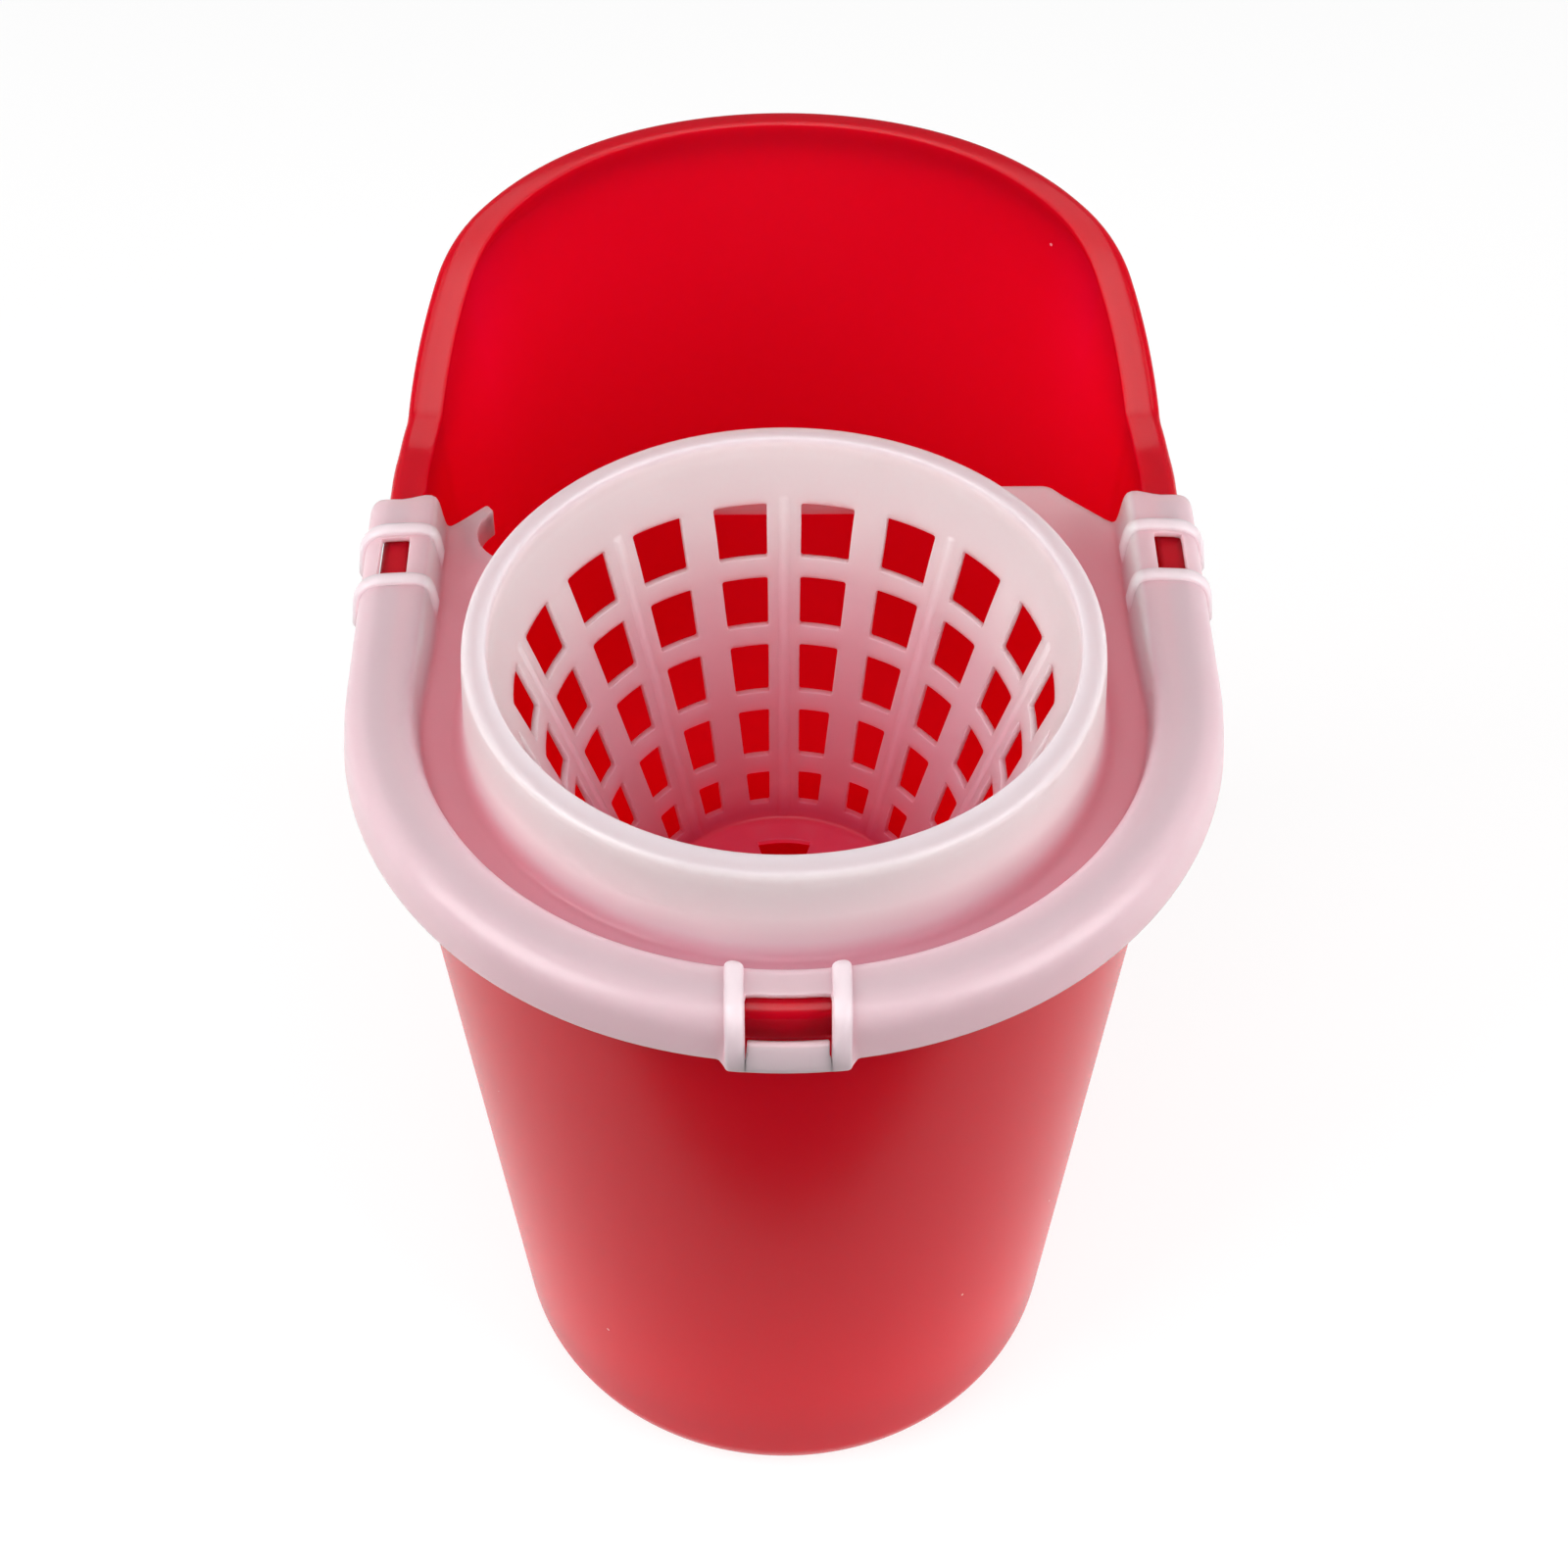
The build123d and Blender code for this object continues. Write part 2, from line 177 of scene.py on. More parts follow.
def make_bucket():
    cx, cy, nx, ny = [], [], [], []

    def col(c, ang):
        cx.append(0.0)
        cy.append(c)
        nx.append(math.cos(rad(ang)))
        ny.append(math.sin(rad(ang)))

    for a in np.linspace(180, 360, 121)[:-1]:
        col(0.0, a)
    for y in np.linspace(0, SPREAD, 17)[:-1]:
        col(y, 0.0)
    back = list(np.arange(0, 36, 0.5)) + list(np.linspace(36, 90, 37)[:-1])
    for a in back:
        col(SPREAD, a)
    col(SPREAD, 90.0)
    for a in back[::-1][:-1]:
        col(SPREAD, 180.0 - a)
    for y in np.linspace(SPREAD, 0, 17)[:-1]:
        col(y, 180.0)
    cx, cy, nx, ny = map(np.array, (cx, cy, nx, ny))

    def at_rim(dr, d):
        z = np.full(len(cx), RIM_Z)
        for _ in range(6):
            r = BASE_R + DRAFT * z + dr
            y0 = cy + r * ny
            zt, a = rim_z(y0)
            z = zt - d * np.cos(a)
        return np.stack([cx + r * nx, y0 + d * np.sin(a), z], -1)

    def at_r(r, z):
        z = np.broadcast_to(np.asarray(z, float), cx.shape)
        r = np.broadcast_to(np.asarray(r, float), cx.shape)
        return np.stack([cx + r * nx, cy + r * ny, z], -1)

    rows = []
    # underside: recessed panel, foot ring, rounded bottom edge
    for r, z in ((0, FOOT_H), (38, FOOT_H), (70.5, FOOT_H), (72.6, 1.9), (73.5, 1.5), (74.0, 0.6), (74.3, 0.2), (74.9, 0.0), (77.5, 0.0)):
        rows.append(at_r(r, z))
    rc = BASE_R + DRAFT * BOT_R - BOT_R * math.sqrt(1 + DRAFT ** 2)
    for r, z in arc_pts(rc, BOT_R, BOT_R, -90, -deg(math.atan(DRAFT)), 15):
        rows.append(at_r(r, z))
    # outer wall up to the flange
    root = at_rim(0.0, 5.2)
    z_lo = rows[-1][:, 2]
    for t in np.linspace(0, 1, 27)[1:]:
        z = z_lo + (root[:, 2] - z_lo) * t
        shift = (root[:, 1] - (cy + (BASE_R + DRAFT * root[:, 2]) * ny)) * smooth(0.6, 1.0, t)
        p = at_r(BASE_R + DRAFT * z, z)
        p[:, 1] += shift
        rows.append(p)
    # flange: fillet, underside, turned-down edge, rounded outside, top, inner edge
    sec = [(0.0, 4.0), (0.15, 3.2), (0.5, 2.65), (1.1, 2.35), (1.9, 2.3), (3.6, 2.3), (4.35, 2.45), (4.8, 2.95), (4.9, 3.7), (4.9, 6.0), (4.9, 9.5),
           (4.9, 13.2), (5.0, 13.7), (5.4, 13.98), (6.05, 14.0), (6.7, 13.98), (7.1, 13.7), (7.2, 13.2), (7.2, 9.5), (7.2, 6.0)]
    sec += [(2.9 + 4.3 * math.cos(rad(a)), 4.3 - 4.3 * math.sin(rad(a))) for a in np.linspace(0, 90, 12)]
    sec += [(1.6, -0.04), (0.2, -0.05), (-0.8, -0.02), (-1.5, 0.06), (-1.95, 0.3), (-2.2, 0.65), (-2.3, 1.1), (-2.3, 2.2), (-2.3, 5.2)]
    # behind the wringer the flange's inner edge stands in as a narrow ledge, widest beside the channel's ends
    turn = np.degrees(np.arctan2(ny, np.abs(nx)))
    ledge = np.interp(turn, [0, 8, 20, 28, 45, 58], [3.2, 3.0, 2.4, 1.8, 0.8, 0.15]) * smooth(84.0, 91.0, cy + 127.0 * ny)
    for dr, d in sec:
        rows.append(at_rim(dr - ledge * float(smooth(-0.4, -1.9, dr)), d))
    rows[-1] = at_rim(-2.3, 8.0)
    rows.insert(-1, at_rim(-2.3 - 0.9 * ledge, 3.2))
    rows.insert(-1, at_rim(-2.3 - 0.35 * ledge, 4.6))
    # inner wall and inside floor
    top = rows[-1]
    rci = BASE_R - WALL + DRAFT * (FLOOR_T + FOOT_H + BOT_R - WALL)
    ri = BOT_R - WALL
    rci -= ri * math.sqrt(1 + DRAFT ** 2)
    inner = arc_pts(rci, FLOOR_T + FOOT_H + ri, ri, -deg(math.atan(DRAFT)), -90, 13)
    for t in np.linspace(0, 1, 27)[1:]:
        z = top[:, 2] + (inner[0][1] - top[:, 2]) * t
        p = at_r(BASE_R + DRAFT * z - WALL, z)
        p[:, 1] += (top[:, 1] - (cy + (BASE_R + DRAFT * top[:, 2] - WALL) * ny)) * smooth(0.4, 0.0, t)
        rows.append(p)
    for r, z in inner[1:]:
        rows.append(at_r(r, z))
    for r in (60, 34, 0):
        rows.append(at_r(r, FLOOR_T + FOOT_H))
    s = Skin()
    idx = s.add(np.array(rows))
    s.quads(idx, wrap=True)
    return s.build("bucket_shell")


# ---------------------------------------------------------------- wringer
CUP_R, SLOPE, CUP_FLOOR, SKIN = 93.1, 0.34, -136.2, 2.2
CONE_T = SKIN * math.sqrt(1 + SLOPE ** 2)
HOLE_ROWS = [(-21.8, -40.6, 11.5), (-47.4, -64.7, 10.7), (-71.4, -88.7, 10.4), (-95.3, -112.3, 10.2), (-118.6, -130.2, 10.0)]
COLUMNS = 18
EDGE = 0.28            # rounding of moulded edges
RIB_W, RIB_H, RIB_TOP = 1.95, 0.5, -21.6
TURN = 0.52            # deck and channel stand turned this much against the cup's holes, degrees
CHAN_END = 86.0

T_PROF = [(115.3, -34.0), (116.1, -33.75), (116.65, -33.0), (117.1, -31.2), (117.8, -28.0), (118.6, -24.4), (119.2, -21.6),
          (119.6, -20.2), (120.2, -18.95), (121.0, -18.0), (122.0, -17.52), (123.0, -17.38), (123.9, -17.4), (124.8, -17.46),
          (127.6, -17.6), (130.1, -17.76), (132.0, -17.95), (133.2, -18.27), (134.4, -18.78), (135.5, -19.45), (136.6, -20.35),
          (137.5, -21.4), (138.2, -22.6), (138.75, -23.9), (139.15, -25.3), (139.45, -26.8), (139.8, -29.5), (140.1, -32.0),
          (140.4, -34.4), (140.52, -35.4), (140.6, -35.95), (140.5, -36.25), (140.2, -36.4)]
U_PROF = [(116.4, -36.2), (117.6, -36.05), (118.4, -35.4), (118.9, -33.6), (119.7, -29.6), (120.6, -25.4), (121.2, -22.6),
          (121.5, -21.4), (121.9, -20.5), (122.4, -19.88), (122.9, -19.62), (123.5, -19.56), (124.1, -19.6), (124.8, -19.68),
          (127.6, -19.78), (130.1, -19.95), (131.8, -20.16), (132.7, -20.5), (133.5, -20.95), (134.3, -21.55), (135.1, -22.3),
          (135.7, -23.1), (136.2, -24.0), (136.6, -25.0), (136.9, -26.2), (137.15, -27.4), (137.5, -29.8), (137.8, -32.1),
          (138.1, -34.4), (138.22, -35.4), (138.3, -35.95), (138.45, -36.25), (138.75, -36.4)]
# how far each row of the inner half moves in towards the sides, where the inner wall runs straight and steeper
IN_ROWS = [1.0] * 9 + [0.85, 0.6, 0.35, 0.15] + [0.0] * 20
# how far each row stands behind the channel's end line
END_ROWS = [3.0, 2.9, 2.8, 2.6, 2.1, 1.6, 1.2, 1.0, 0.9, 0.7, 0.3, -0.4, -0.9, -1.3, -1.7, -1.5, -1.3, -1.0, -0.6, -0.2] + [0.0] * 13
K_WIN, K_SIDE0, K_SIDE1, K_FLUSH = 15, 12, 17, 28
# outer profile where the front beads run into their thick foot, by row
SHOE_T = {26: (140.0, -29.5), 27: (140.8, -32.2), 28: (141.75, -34.5), 29: (142.35, -35.9), 30: (142.75, -37.3), 31: (142.6, -38.6), 32: (141.9, -39.3)}
SHOE_U = {28: (138.2, -34.6), 29: (138.5, -35.9), 30: (138.8, -37.2), 31: (139.3, -38.6), 32: (140.2, -39.3)}
BEAD_H = 1.9
FRONT_BEADS = [(-15.575, 2.875), (15.575, 2.875)]
SIDE_BEADS = [(44.5, 2.6), (68.95, 2.65)]
FRONT_WINDOW = (-12.5, 12.5)
SIDE_WINDOW = (47.1, 65.4)
BEAD_T = (-1.16, -1.0, -0.93, -0.8, -0.6, -0.32, 0.0, 0.32, 0.6, 0.8, 0.93, 1.0, 1.16)


def bead_height(t):
    t = np.abs(t)
    body = np.clip(1 - np.clip(t, 0, 1) ** 2.3, 0, 1) ** 0.55
    return BEAD_H * body + 0.10 * smooth(1.16, 0.95, t)


def turned(p):
    """Turn points about the cup's axis by the channel's small angle."""
    p = np.array(p, float)
    c, n = math.cos(rad(TURN)), math.sin(rad(TURN))
    x, y = p[..., 0].copy(), p[..., 1].copy()
    p[..., 0], p[..., 1] = c * x - n * y, n * x + c * y
    return p


def cone_r(z):
    return CUP_R + SLOPE * z


def bar_half(z, r):
    """Half of an upright bar's angle at this height."""
    mids = [(a + b) / 2 for a, b, _ in HOLE_ROWS][::-1]
    w = np.interp(z, mids, [c for _, _, c in HOLE_ROWS][::-1])
    return deg(w / 2 / r)


def make_wringer():
    s = Skin()
    pitch = 360.0 / COLUMNS
    # ---- columns round the cup: (bar index, mm from the bar's middle) or (hole index, share of the half width)
    cols = []
    hole_cols = []
    ts = [0.0, 0.4, 0.8, 1.15, 1.5, 1.8, 2.15]
    for k in range(COLUMNS):
        cols += [("bar", k, t) for t in ts] + [("frac", k, 0.62), ("frac", k, 0.86)]
        hole_cols.append(len(cols))
        cols += [("hole", k, g) for g in (-1.0, -0.9, -0.55, -0.18, 0.18, 0.55, 0.9, 1.0)]
        cols += [("frac", k + 1, -0.86), ("frac", k + 1, -0.62)] + [("bar", k + 1, -t) for t in ts[:0:-1]]
    n_cols = len(cols)
    hole_span = 7          # column steps across a hole

    def angles(z, r):
        b = bar_half(z, r)
        out = []
        for kind, k, v in cols:
            if kind == "bar":
                out.append(90 + pitch * k + deg(v / r))
            elif kind == "frac":
                out.append(90 + pitch * k + v * b)
            else:
                out.append(90 + pitch * (k + 0.5) + v * (pitch / 2 - b))
        return np.radians(out)

    even = 90.0 + np.arange(n_cols) * 360.0 / n_cols
    rib = np.zeros(n_cols)
    for i, (kind, k, v) in enumerate(cols):
        if kind == "bar" and k % 2 == 0:
            rib[i] = RIB_H * max(0.0, 1 - (abs(v) / RIB_W) ** 2) ** 1.2

    # ---- height lines of the cone
    zs = [-8.0, -11.0, -14.0, -16.5, -18.2, -18.7, -19.2, -19.8, -20.5, -21.2]
    spans = []
    for i, (hi, lo, _) in enumerate(HOLE_ROWS):
        start = len(zs)
        zs += [hi, hi - 0.7, hi + (lo - hi) * 0.3, hi + (lo - hi) * 0.5, hi + (lo - hi) * 0.7, lo + 0.7, lo]
        spans.append((start, len(zs) - 1))
        nxt = HOLE_ROWS[i + 1][0] if i + 1 < len(HOLE_ROWS) else -134.4
        gap = nxt - lo
        zs += [lo + gap * 0.25, lo + gap * 0.5, lo + gap * 0.75]
    zs += [-134.2]
    inner, outer = [], []
    lateral = []
    nrm = np.array([-1.0, SLOPE]) / math.sqrt(1 + SLOPE ** 2)
    for z in zs:
        r = cone_r(z)
        th = angles(z, r)
        end = math.sqrt(max(0.0, 1 - ((z - RIB_TOP) / 1.9) ** 2)) if z > RIB_TOP else 1.0
        h = rib * end
        ri, zi = r + nrm[0] * h, z + nrm[1] * h
        inner.append(np.stack([ri * np.cos(th), ri * np.sin(th), zi], -1))
        ro = r + CONE_T
        outer.append(np.stack([ro * np.cos(th), ro * np.sin(th), np.full(n_cols, z)], -1))
    inner, outer = np.array(inner), np.array(outer)

    # hole rims: the surface points stand EDGE outside the hole, and the wall rounds into it
    skip = np.zeros((len(zs) - 1, n_cols), bool)
    loops = []
    for (i0, i1) in spans:
        for c0 in hole_cols:
            c1 = c0 + hole_span
            skip[i0:i1, c0:c1] = True
            ring = [(i0, c) for c in range(c0, c1)] + [(i, c1) for i in range(i0, i1)] + [(i1, c) for c in range(c1, c0, -1)] + [(i, c0) for i in range(i1, i0, -1)]
            loops.append((ring, i0, i1, c0, c1))
    rim_in, rim_out, exact = {}, {}, []
    for ring, i0, i1, c0, c1 in loops:
        pts_in, pts_out, lat = [], [], []
        for i, c in ring:
            p, q = inner[i, c], outer[i, c]
            th = math.atan2(p[1], p[0])
            tang = np.array([-math.sin(th), math.cos(th), 0.0])
            upv = np.array([math.cos(th) * SLOPE, math.sin(th) * SLOPE, 1.0]) / math.sqrt(1 + SLOPE ** 2)
            side = (-1.0 if c == c0 else (1.0 if c == c1 else 0.0))
            vert = (1.0 if i == i0 else (-1.0 if i == i1 else 0.0))
            v = tang * side + upv * vert
            n = np.linalg.norm(v)
            v = v / n
            inset = 0.34 if (side and vert) else 0.0      # rounded corner
            pts_in.append(p - v * inset)
            pts_out.append(q - v * inset)
            lat.append(v)
        loops_pts = (np.array(pts_in), np.array(pts_out), np.array(lat))
        exact.append((ring, loops_pts))
    for ring, (pi, po, lat) in exact:
        for (i, c), a, b, v in zip(ring, pi, po, lat):
            inner[i, c] = a + v * EDGE
            outer[i, c] = b + v * EDGE
    ii, oo = s.add(inner), s.add(outer)
    s.quads(ii, wrap=True, skip=skip)
    s.quads(oo, wrap=True, skip=skip)

    def rim_wall(id_in, id_out, pi, po, lat, e=EDGE, closed=True):
        """Rounded wall of an opening between two surfaces; pi, po are the wall's own lines."""
        depth = po - pi
        length = np.linalg.norm(depth, axis=1)[:, None]
        d = depth / length
        rings = [id_in]
        for a in (30, 60, 90):
            rings.append(s.add(pi + lat * e * (1 - math.sin(rad(a))) + d * e * (1 - math.cos(rad(a)))))
        for a in (90, 60, 30):
            rings.append(s.add(po + lat * e * (1 - math.sin(rad(a))) - d * e * (1 - math.cos(rad(a)))))
        rings.append(id_out)
        s.band(rings, closed=closed)

    for ring, (pi, po, lat) in exact:
        rim_wall(np.array([ii[i, c] for i, c in ring]), np.array([oo[i, c] for i, c in ring]), pi, po, lat)

    # ---- lip and collar
    th0 = angles(-8.0, cone_r(-8.0))

    def turn(pts, th=th0):
        return np.array([np.stack([r * np.cos(th), r * np.sin(th), np.full(len(th), z)], -1) for r, z in pts])

    # flat ring sloping out a little, with small roundings at both edges
    lip = [(91.4, -5.0), (92.05, -3.0), (92.55, -1.5), (92.78, -0.6), (92.9, 0.0), (92.97, 0.3), (93.1, 0.56), (93.32, 0.76), (93.62, 0.86), (94.0, 0.86),
           (95.2, 0.68), (97.0, 0.38), (98.6, 0.08), (99.2, -0.06), (99.62, -0.22), (100.0, -0.48), (100.32, -0.86), (100.55, -1.3), (100.72, -1.9), (100.84, -2.7),
           (101.0, -4.2), (101.2, -6.6), (101.5, -12.0), (101.8, -19.0), (102.05, -25.5), (102.3, -28.6),
           (102.65, -30.4), (103.2, -31.9), (104.0, -33.0), (105.0, -33.7), (106.0, -33.95), (107.0, -34.0)]
    lt = s.add(turn(lip))
    s.band([ii[0], lt[0]])
    s.quads(lt, wrap=True)
    under = [(94.0, -4.6), (94.55, -3.2), (95.2, -2.2), (96.2, -1.75), (97.3, -1.85), (98.2, -2.3), (98.7, -3.1), (98.88, -4.4), (99.05, -6.6), (99.35, -12.0),
             (99.62, -19.0), (99.85, -25.5), (100.1, -30.0), (100.35, -33.0), (100.75, -34.9), (101.5, -35.9), (102.6, -36.2)]
    lu = s.add(turn(under))
    s.band([oo[0], lu[0]])
    s.quads(lu, wrap=True)

    # ---- pierced floor
    def floor_rows(pts, z_of):
        rows = []
        base = angles(-134.2, cone_r(-134.2))
        uni = np.radians(even)
        for r, z in pts:
            w = float(smooth(45.6, 37.6, r))
            th = base * (1 - w) + uni * w
            rows.append(np.stack([r * np.cos(th), r * np.sin(th), np.full(n_cols, z)], -1))
        return np.array(rows)

    f_r = [36.3, 35.6, 32.0, 25.0, 19.0, 15.7, 15.0]
    top_pts = [(46.95, -135.3), (46.4, -135.9), (45.4, -136.2), (43.0, -136.2), (39.5, -136.2)] + [(r, -136.2) for r in f_r] + [(9.0, -136.2), (0.0, -136.2)]
    bot_pts = [(49.2, -136.4), (48.6, -137.6), (47.0, -138.3), (43.5, -138.4), (39.5, -138.4)] + [(r, -138.4) for r in f_r] + [(9.0, -138.4), (0.0, -138.4)]
    ft, fb = floor_rows(top_pts, 0), floor_rows(bot_pts, 0)
    fskip = np.zeros((len(top_pts) - 1, n_cols), bool)
    i0, i1 = 5, 5 + len(f_r) - 1
    half = int(round(15.5 / (360.0 / n_cols)))
    f_exact = []
    for k in range(6):
        mid = int(round(k * n_cols / 6))
        cc = [(mid + j) % n_cols for j in range(-half, half + 1)]
        for j in range(-half, half):
            fskip[i0:i1, (mid + j) % n_cols] = True
        ring = [(i0, c) for c in cc[:-1]] + [(i, cc[-1]) for i in range(i0, i1)] + [(i1, c) for c in cc[:0:-1]] + [(i, cc[0]) for i in range(i1, i0, -1)]
        pi, po, lat = [], [], []
        for i, c in ring:
            p, q = ft[i, c], fb[i, c]
            th = math.atan2(p[1], p[0])
            er, et = np.array([math.cos(th), math.sin(th), 0.0]), np.array([-math.sin(th), math.cos(th), 0.0])
            v = er * (1.0 if i == i0 else (-1.0 if i == i1 else 0.0)) + et * (-1.0 if c == cc[0] else (1.0 if c == cc[-1] else 0.0))
            corner = (i in (i0, i1)) and (c in (cc[0], cc[-1]))
            v = v / np.linalg.norm(v)
            ins = 0.4 if corner else 0.0
            pi.append(p - v * ins)
            po.append(q - v * ins)
            lat.append(v)
        f_exact.append((ring, np.array(pi), np.array(po), np.array(lat)))
    for ring, pi, po, lat in f_exact:
        for (i, c), a, b, v in zip(ring, pi, po, lat):
            ft[i, c] = a + v * EDGE
            fb[i, c] = b + v * EDGE
    fti, fbi = s.add(ft), s.add(fb)
    s.quads(fti, wrap=True, skip=fskip)
    s.quads(fbi, wrap=True, skip=fskip)
    s.band([ii[-1], fti[0]])
    s.band([oo[-1], fbi[0]])
    for ring, pi, po, lat in f_exact:
        rim_wall(np.array([fti[i, c] for i, c in ring]), np.array([fbi[i, c] for i, c in ring]), pi, po, lat)

    # ---- channel: lines along the rim, from the right end round the front to the left end
    lines = []                                    # ("y", side, y) or ("x", x at the reference radius)
    ref = 136.0

    def side_lines():
        ys = {CHAN_END, CHAN_END - 0.12, CHAN_END - 0.4, 84.5, 80.0, 76.0, SIDE_WINDOW[1], 62.9, 59.0, 55.4, 51.5, 38.0, 33.0, 27.0, 20.0, 13.0, 6.5}
        for c, h in SIDE_BEADS:
            ys |= {c + h * t for t in BEAD_T}
        return sorted(ys, reverse=True)

    ys = side_lines()
    lines += [("y", 1, y) for y in ys]
    for a in np.arange(0, 79.5, 2.0):
        lines.append(("x", ref * math.cos(rad(a))))
    xs = {0.0}
    for x in (5.0, 9.5, 12.5, 20.0, 20.9, 21.9, 23.1, 24.3, 25.8):
        xs |= {x, -x}
    for c, h in FRONT_BEADS:
        for t in BEAD_T:
            x = c + h * t
            if abs(x) > 12.55:
                xs.add(x)
    xs = sorted(xs, reverse=True)
    lines += [("x", x) for x in xs]
    for a in np.arange(78.0, -0.5, -2.0):
        lines.append(("x", -ref * math.cos(rad(a))))
    lines += [("y", -1, y) for y in reversed(ys)]
    n_u = len(lines)

    tp, up_ = np.array(T_PROF), np.array(U_PROF)
    n_k = len(tp)
    tan = np.gradient(tp, axis=0)
    tn = np.stack([-tan[:, 1], tan[:, 0]], -1)
    tn = tn / np.linalg.norm(tn, axis=1)[:, None]          # points away from the channel
    leg = smooth(-32.6, -29.6, tp[:, 1])
    leg[K_WIN:] = 1.0

    in_rows, end_rows = np.array(IN_ROWS), np.array(END_ROWS)
    steep = smooth(-33.0, -20.0, tp[:, 1])

    def place(line, r, z):
        r, z = np.asarray(r, float), np.asarray(z, float)
        if line[0] == "y":
            y = line[2]
            foot_in, top_in = np.interp(y, [0, 10.7, 30], [0.4, 1.1, 2.4]), np.interp(y, [0, 22, 86], [2.0, 3.3, 3.5])
            r = r - in_rows * (foot_in * (1 - steep) + top_in * steep)
            return np.stack([line[1] * r, y + end_rows * float(smooth(72.0, 86.0, y)), z], -1)
        x0 = line[1]
        r = r - in_rows * (0.4 * (1 - steep) + 2.0 * steep) * (abs(x0) / ref) ** 6
        w = float(smooth(25.0, 62.0, abs(x0)))
        x = x0 * (r / ref) ** w
        return np.stack([x, -np.sqrt(np.maximum(r * r - x * x, 0)), z], -1)

    top, bot = [], []
    for line in lines:
        r, z = tp[:, 0].copy(), tp[:, 1].copy()
        ru, zu = up_[:, 0].copy(), up_[:, 1].copy()
        h = np.zeros(n_k)
        if line[0] == "y":
            for c, half_w in SIDE_BEADS:
                h = h + bead_height((line[2] - c) / half_w) * leg
        else:
            x0 = line[1]
            for c, half_w in FRONT_BEADS:
                if abs(x0) < 40:
                    h = h + bead_height((x0 - c) / half_w) * leg
            foot = float(smooth(20.6, 17.2, abs(x0)))
            if foot > 0:
                for k, (a, b) in SHOE_T.items():
                    r[k] += (a - r[k]) * foot
                    z[k] += (b - z[k]) * foot
                for k, (a, b) in SHOE_U.items():
                    ru[k] += (a - ru[k]) * foot
                    zu[k] += (b - zu[k]) * foot
                fade = np.ones(n_k)
                fade[27:] = [0.72, 0.42, 0.22, 0.1, 0.04, 0.0]
                h = h * (1 - foot + foot * fade)
        r = r + tn[:, 0] * h
        z = z + tn[:, 1] * h
        top.append(place(line, r, z))
        bot.append(place(line, ru, zu))
    top, bot = turned(top), turned(bot)                # [line, row]

    def find(kind, val, side=None):
        best = None
        for i, ln in enumerate(lines):
            if ln[0] == kind and (side is None or ln[1] == side):
                v = ln[2] if kind == "y" else ln[1]
                if best is None or abs(v - val) < best[0]:
                    best = (abs(v - val), i)
        return best[1]

    holes = []
    a, b = find("x", FRONT_WINDOW[1]), find("x", FRONT_WINDOW[0])
    f0, f1 = min(a, b), max(a, b)
    holes.append((f0, f1, K_WIN, n_k - 1, True))
    for side in (1, -1):
        a, b = find("y", SIDE_WINDOW[0], side), find("y", SIDE_WINDOW[1], side)
        holes.append((min(a, b), max(a, b), K_SIDE0, K_SIDE1, False))
    cskip = np.zeros((n_u - 1, n_k - 1), bool)
    c_exact = []
    for u0, u1, k0, k1, front in holes:
        cskip[u0:u1, k0:k1] = True
        if front:                                 # open at the foot: down one side only to the last row
            ring = [(u0, k) for k in range(k1, k0, -1)] + [(u, k0) for u in range(u0, u1)] + [(u1, k) for k in range(k0, k1 + 1)]
        else:
            ring = [(u, k0) for u in range(u0, u1)] + [(u1, k) for k in range(k0, k1)] + [(u, k1) for u in range(u1, u0, -1)] + [(u0, k) for k in range(k1, k0, -1)]
        pi, po, lat = [], [], []
        for u, k in ring:
            du = top[min(u + 1, n_u - 1), k] - top[max(u - 1, 0), k]
            dk = top[u, min(k + 1, n_k - 1)] - top[u, max(k - 1, 0)]
            du, dk = du / np.linalg.norm(du), dk / np.linalg.norm(dk)
            v = du * (-1.0 if u == u0 else (1.0 if u == u1 else 0.0)) + dk * (-1.0 if k == k0 else (1.0 if k == k1 and not front else 0.0))
            v = v / np.linalg.norm(v)
            corner = (u in (u0, u1)) and (k == k0 or (k == k1 and not front))
            ins = (0.5 if front else 0.3) if corner else 0.0
            e = float(smooth(K_FLUSH + 0.5, K_FLUSH - 1.5, k)) if front else 1.0
            pi.append(top[u, k] - v * ins)
            po.append(bot[u, k] - v * ins)
            lat.append(v * e)
        c_exact.append((ring, np.array(pi), np.array(po), np.array(lat), not front))
    for ring, pi, po, lat, _ in c_exact:
        for (u, k), a, b, v in zip(ring, pi, po, lat):
            top[u, k] = a + v * 0.3
            bot[u, k] = b + v * 0.3
    ti, bi = s.add(top), s.add(bot)
    s.quads(ti, skip=cskip)
    s.quads(bi, skip=cskip)
    # lower edge of the skirt, with the same steps across it as the walls of the openings
    across = bot[:, -1] - top[:, -1]
    across = across / np.linalg.norm(across, axis=1)[:, None]
    steps = [0.3 * (1 - math.cos(rad(a))) for a in (30, 60, 90)]
    edge = [ti[:, -1]] + [s.add(top[:, -1] + across * t) for t in steps] + [s.add(bot[:, -1] - across * t) for t in steps[::-1]] + [bi[:, -1]]
    eskip = np.zeros((len(edge) - 1, n_u - 1), bool)
    eskip[:, f0:f1] = True
    s.quads(np.array(edge), skip=eskip)
    for ring, pi, po, lat, closed in c_exact:
        rim_wall(np.array([ti[u, k] for u, k in ring]), np.array([bi[u, k] for u, k in ring]), pi, po, lat, e=0.3, closed=closed)

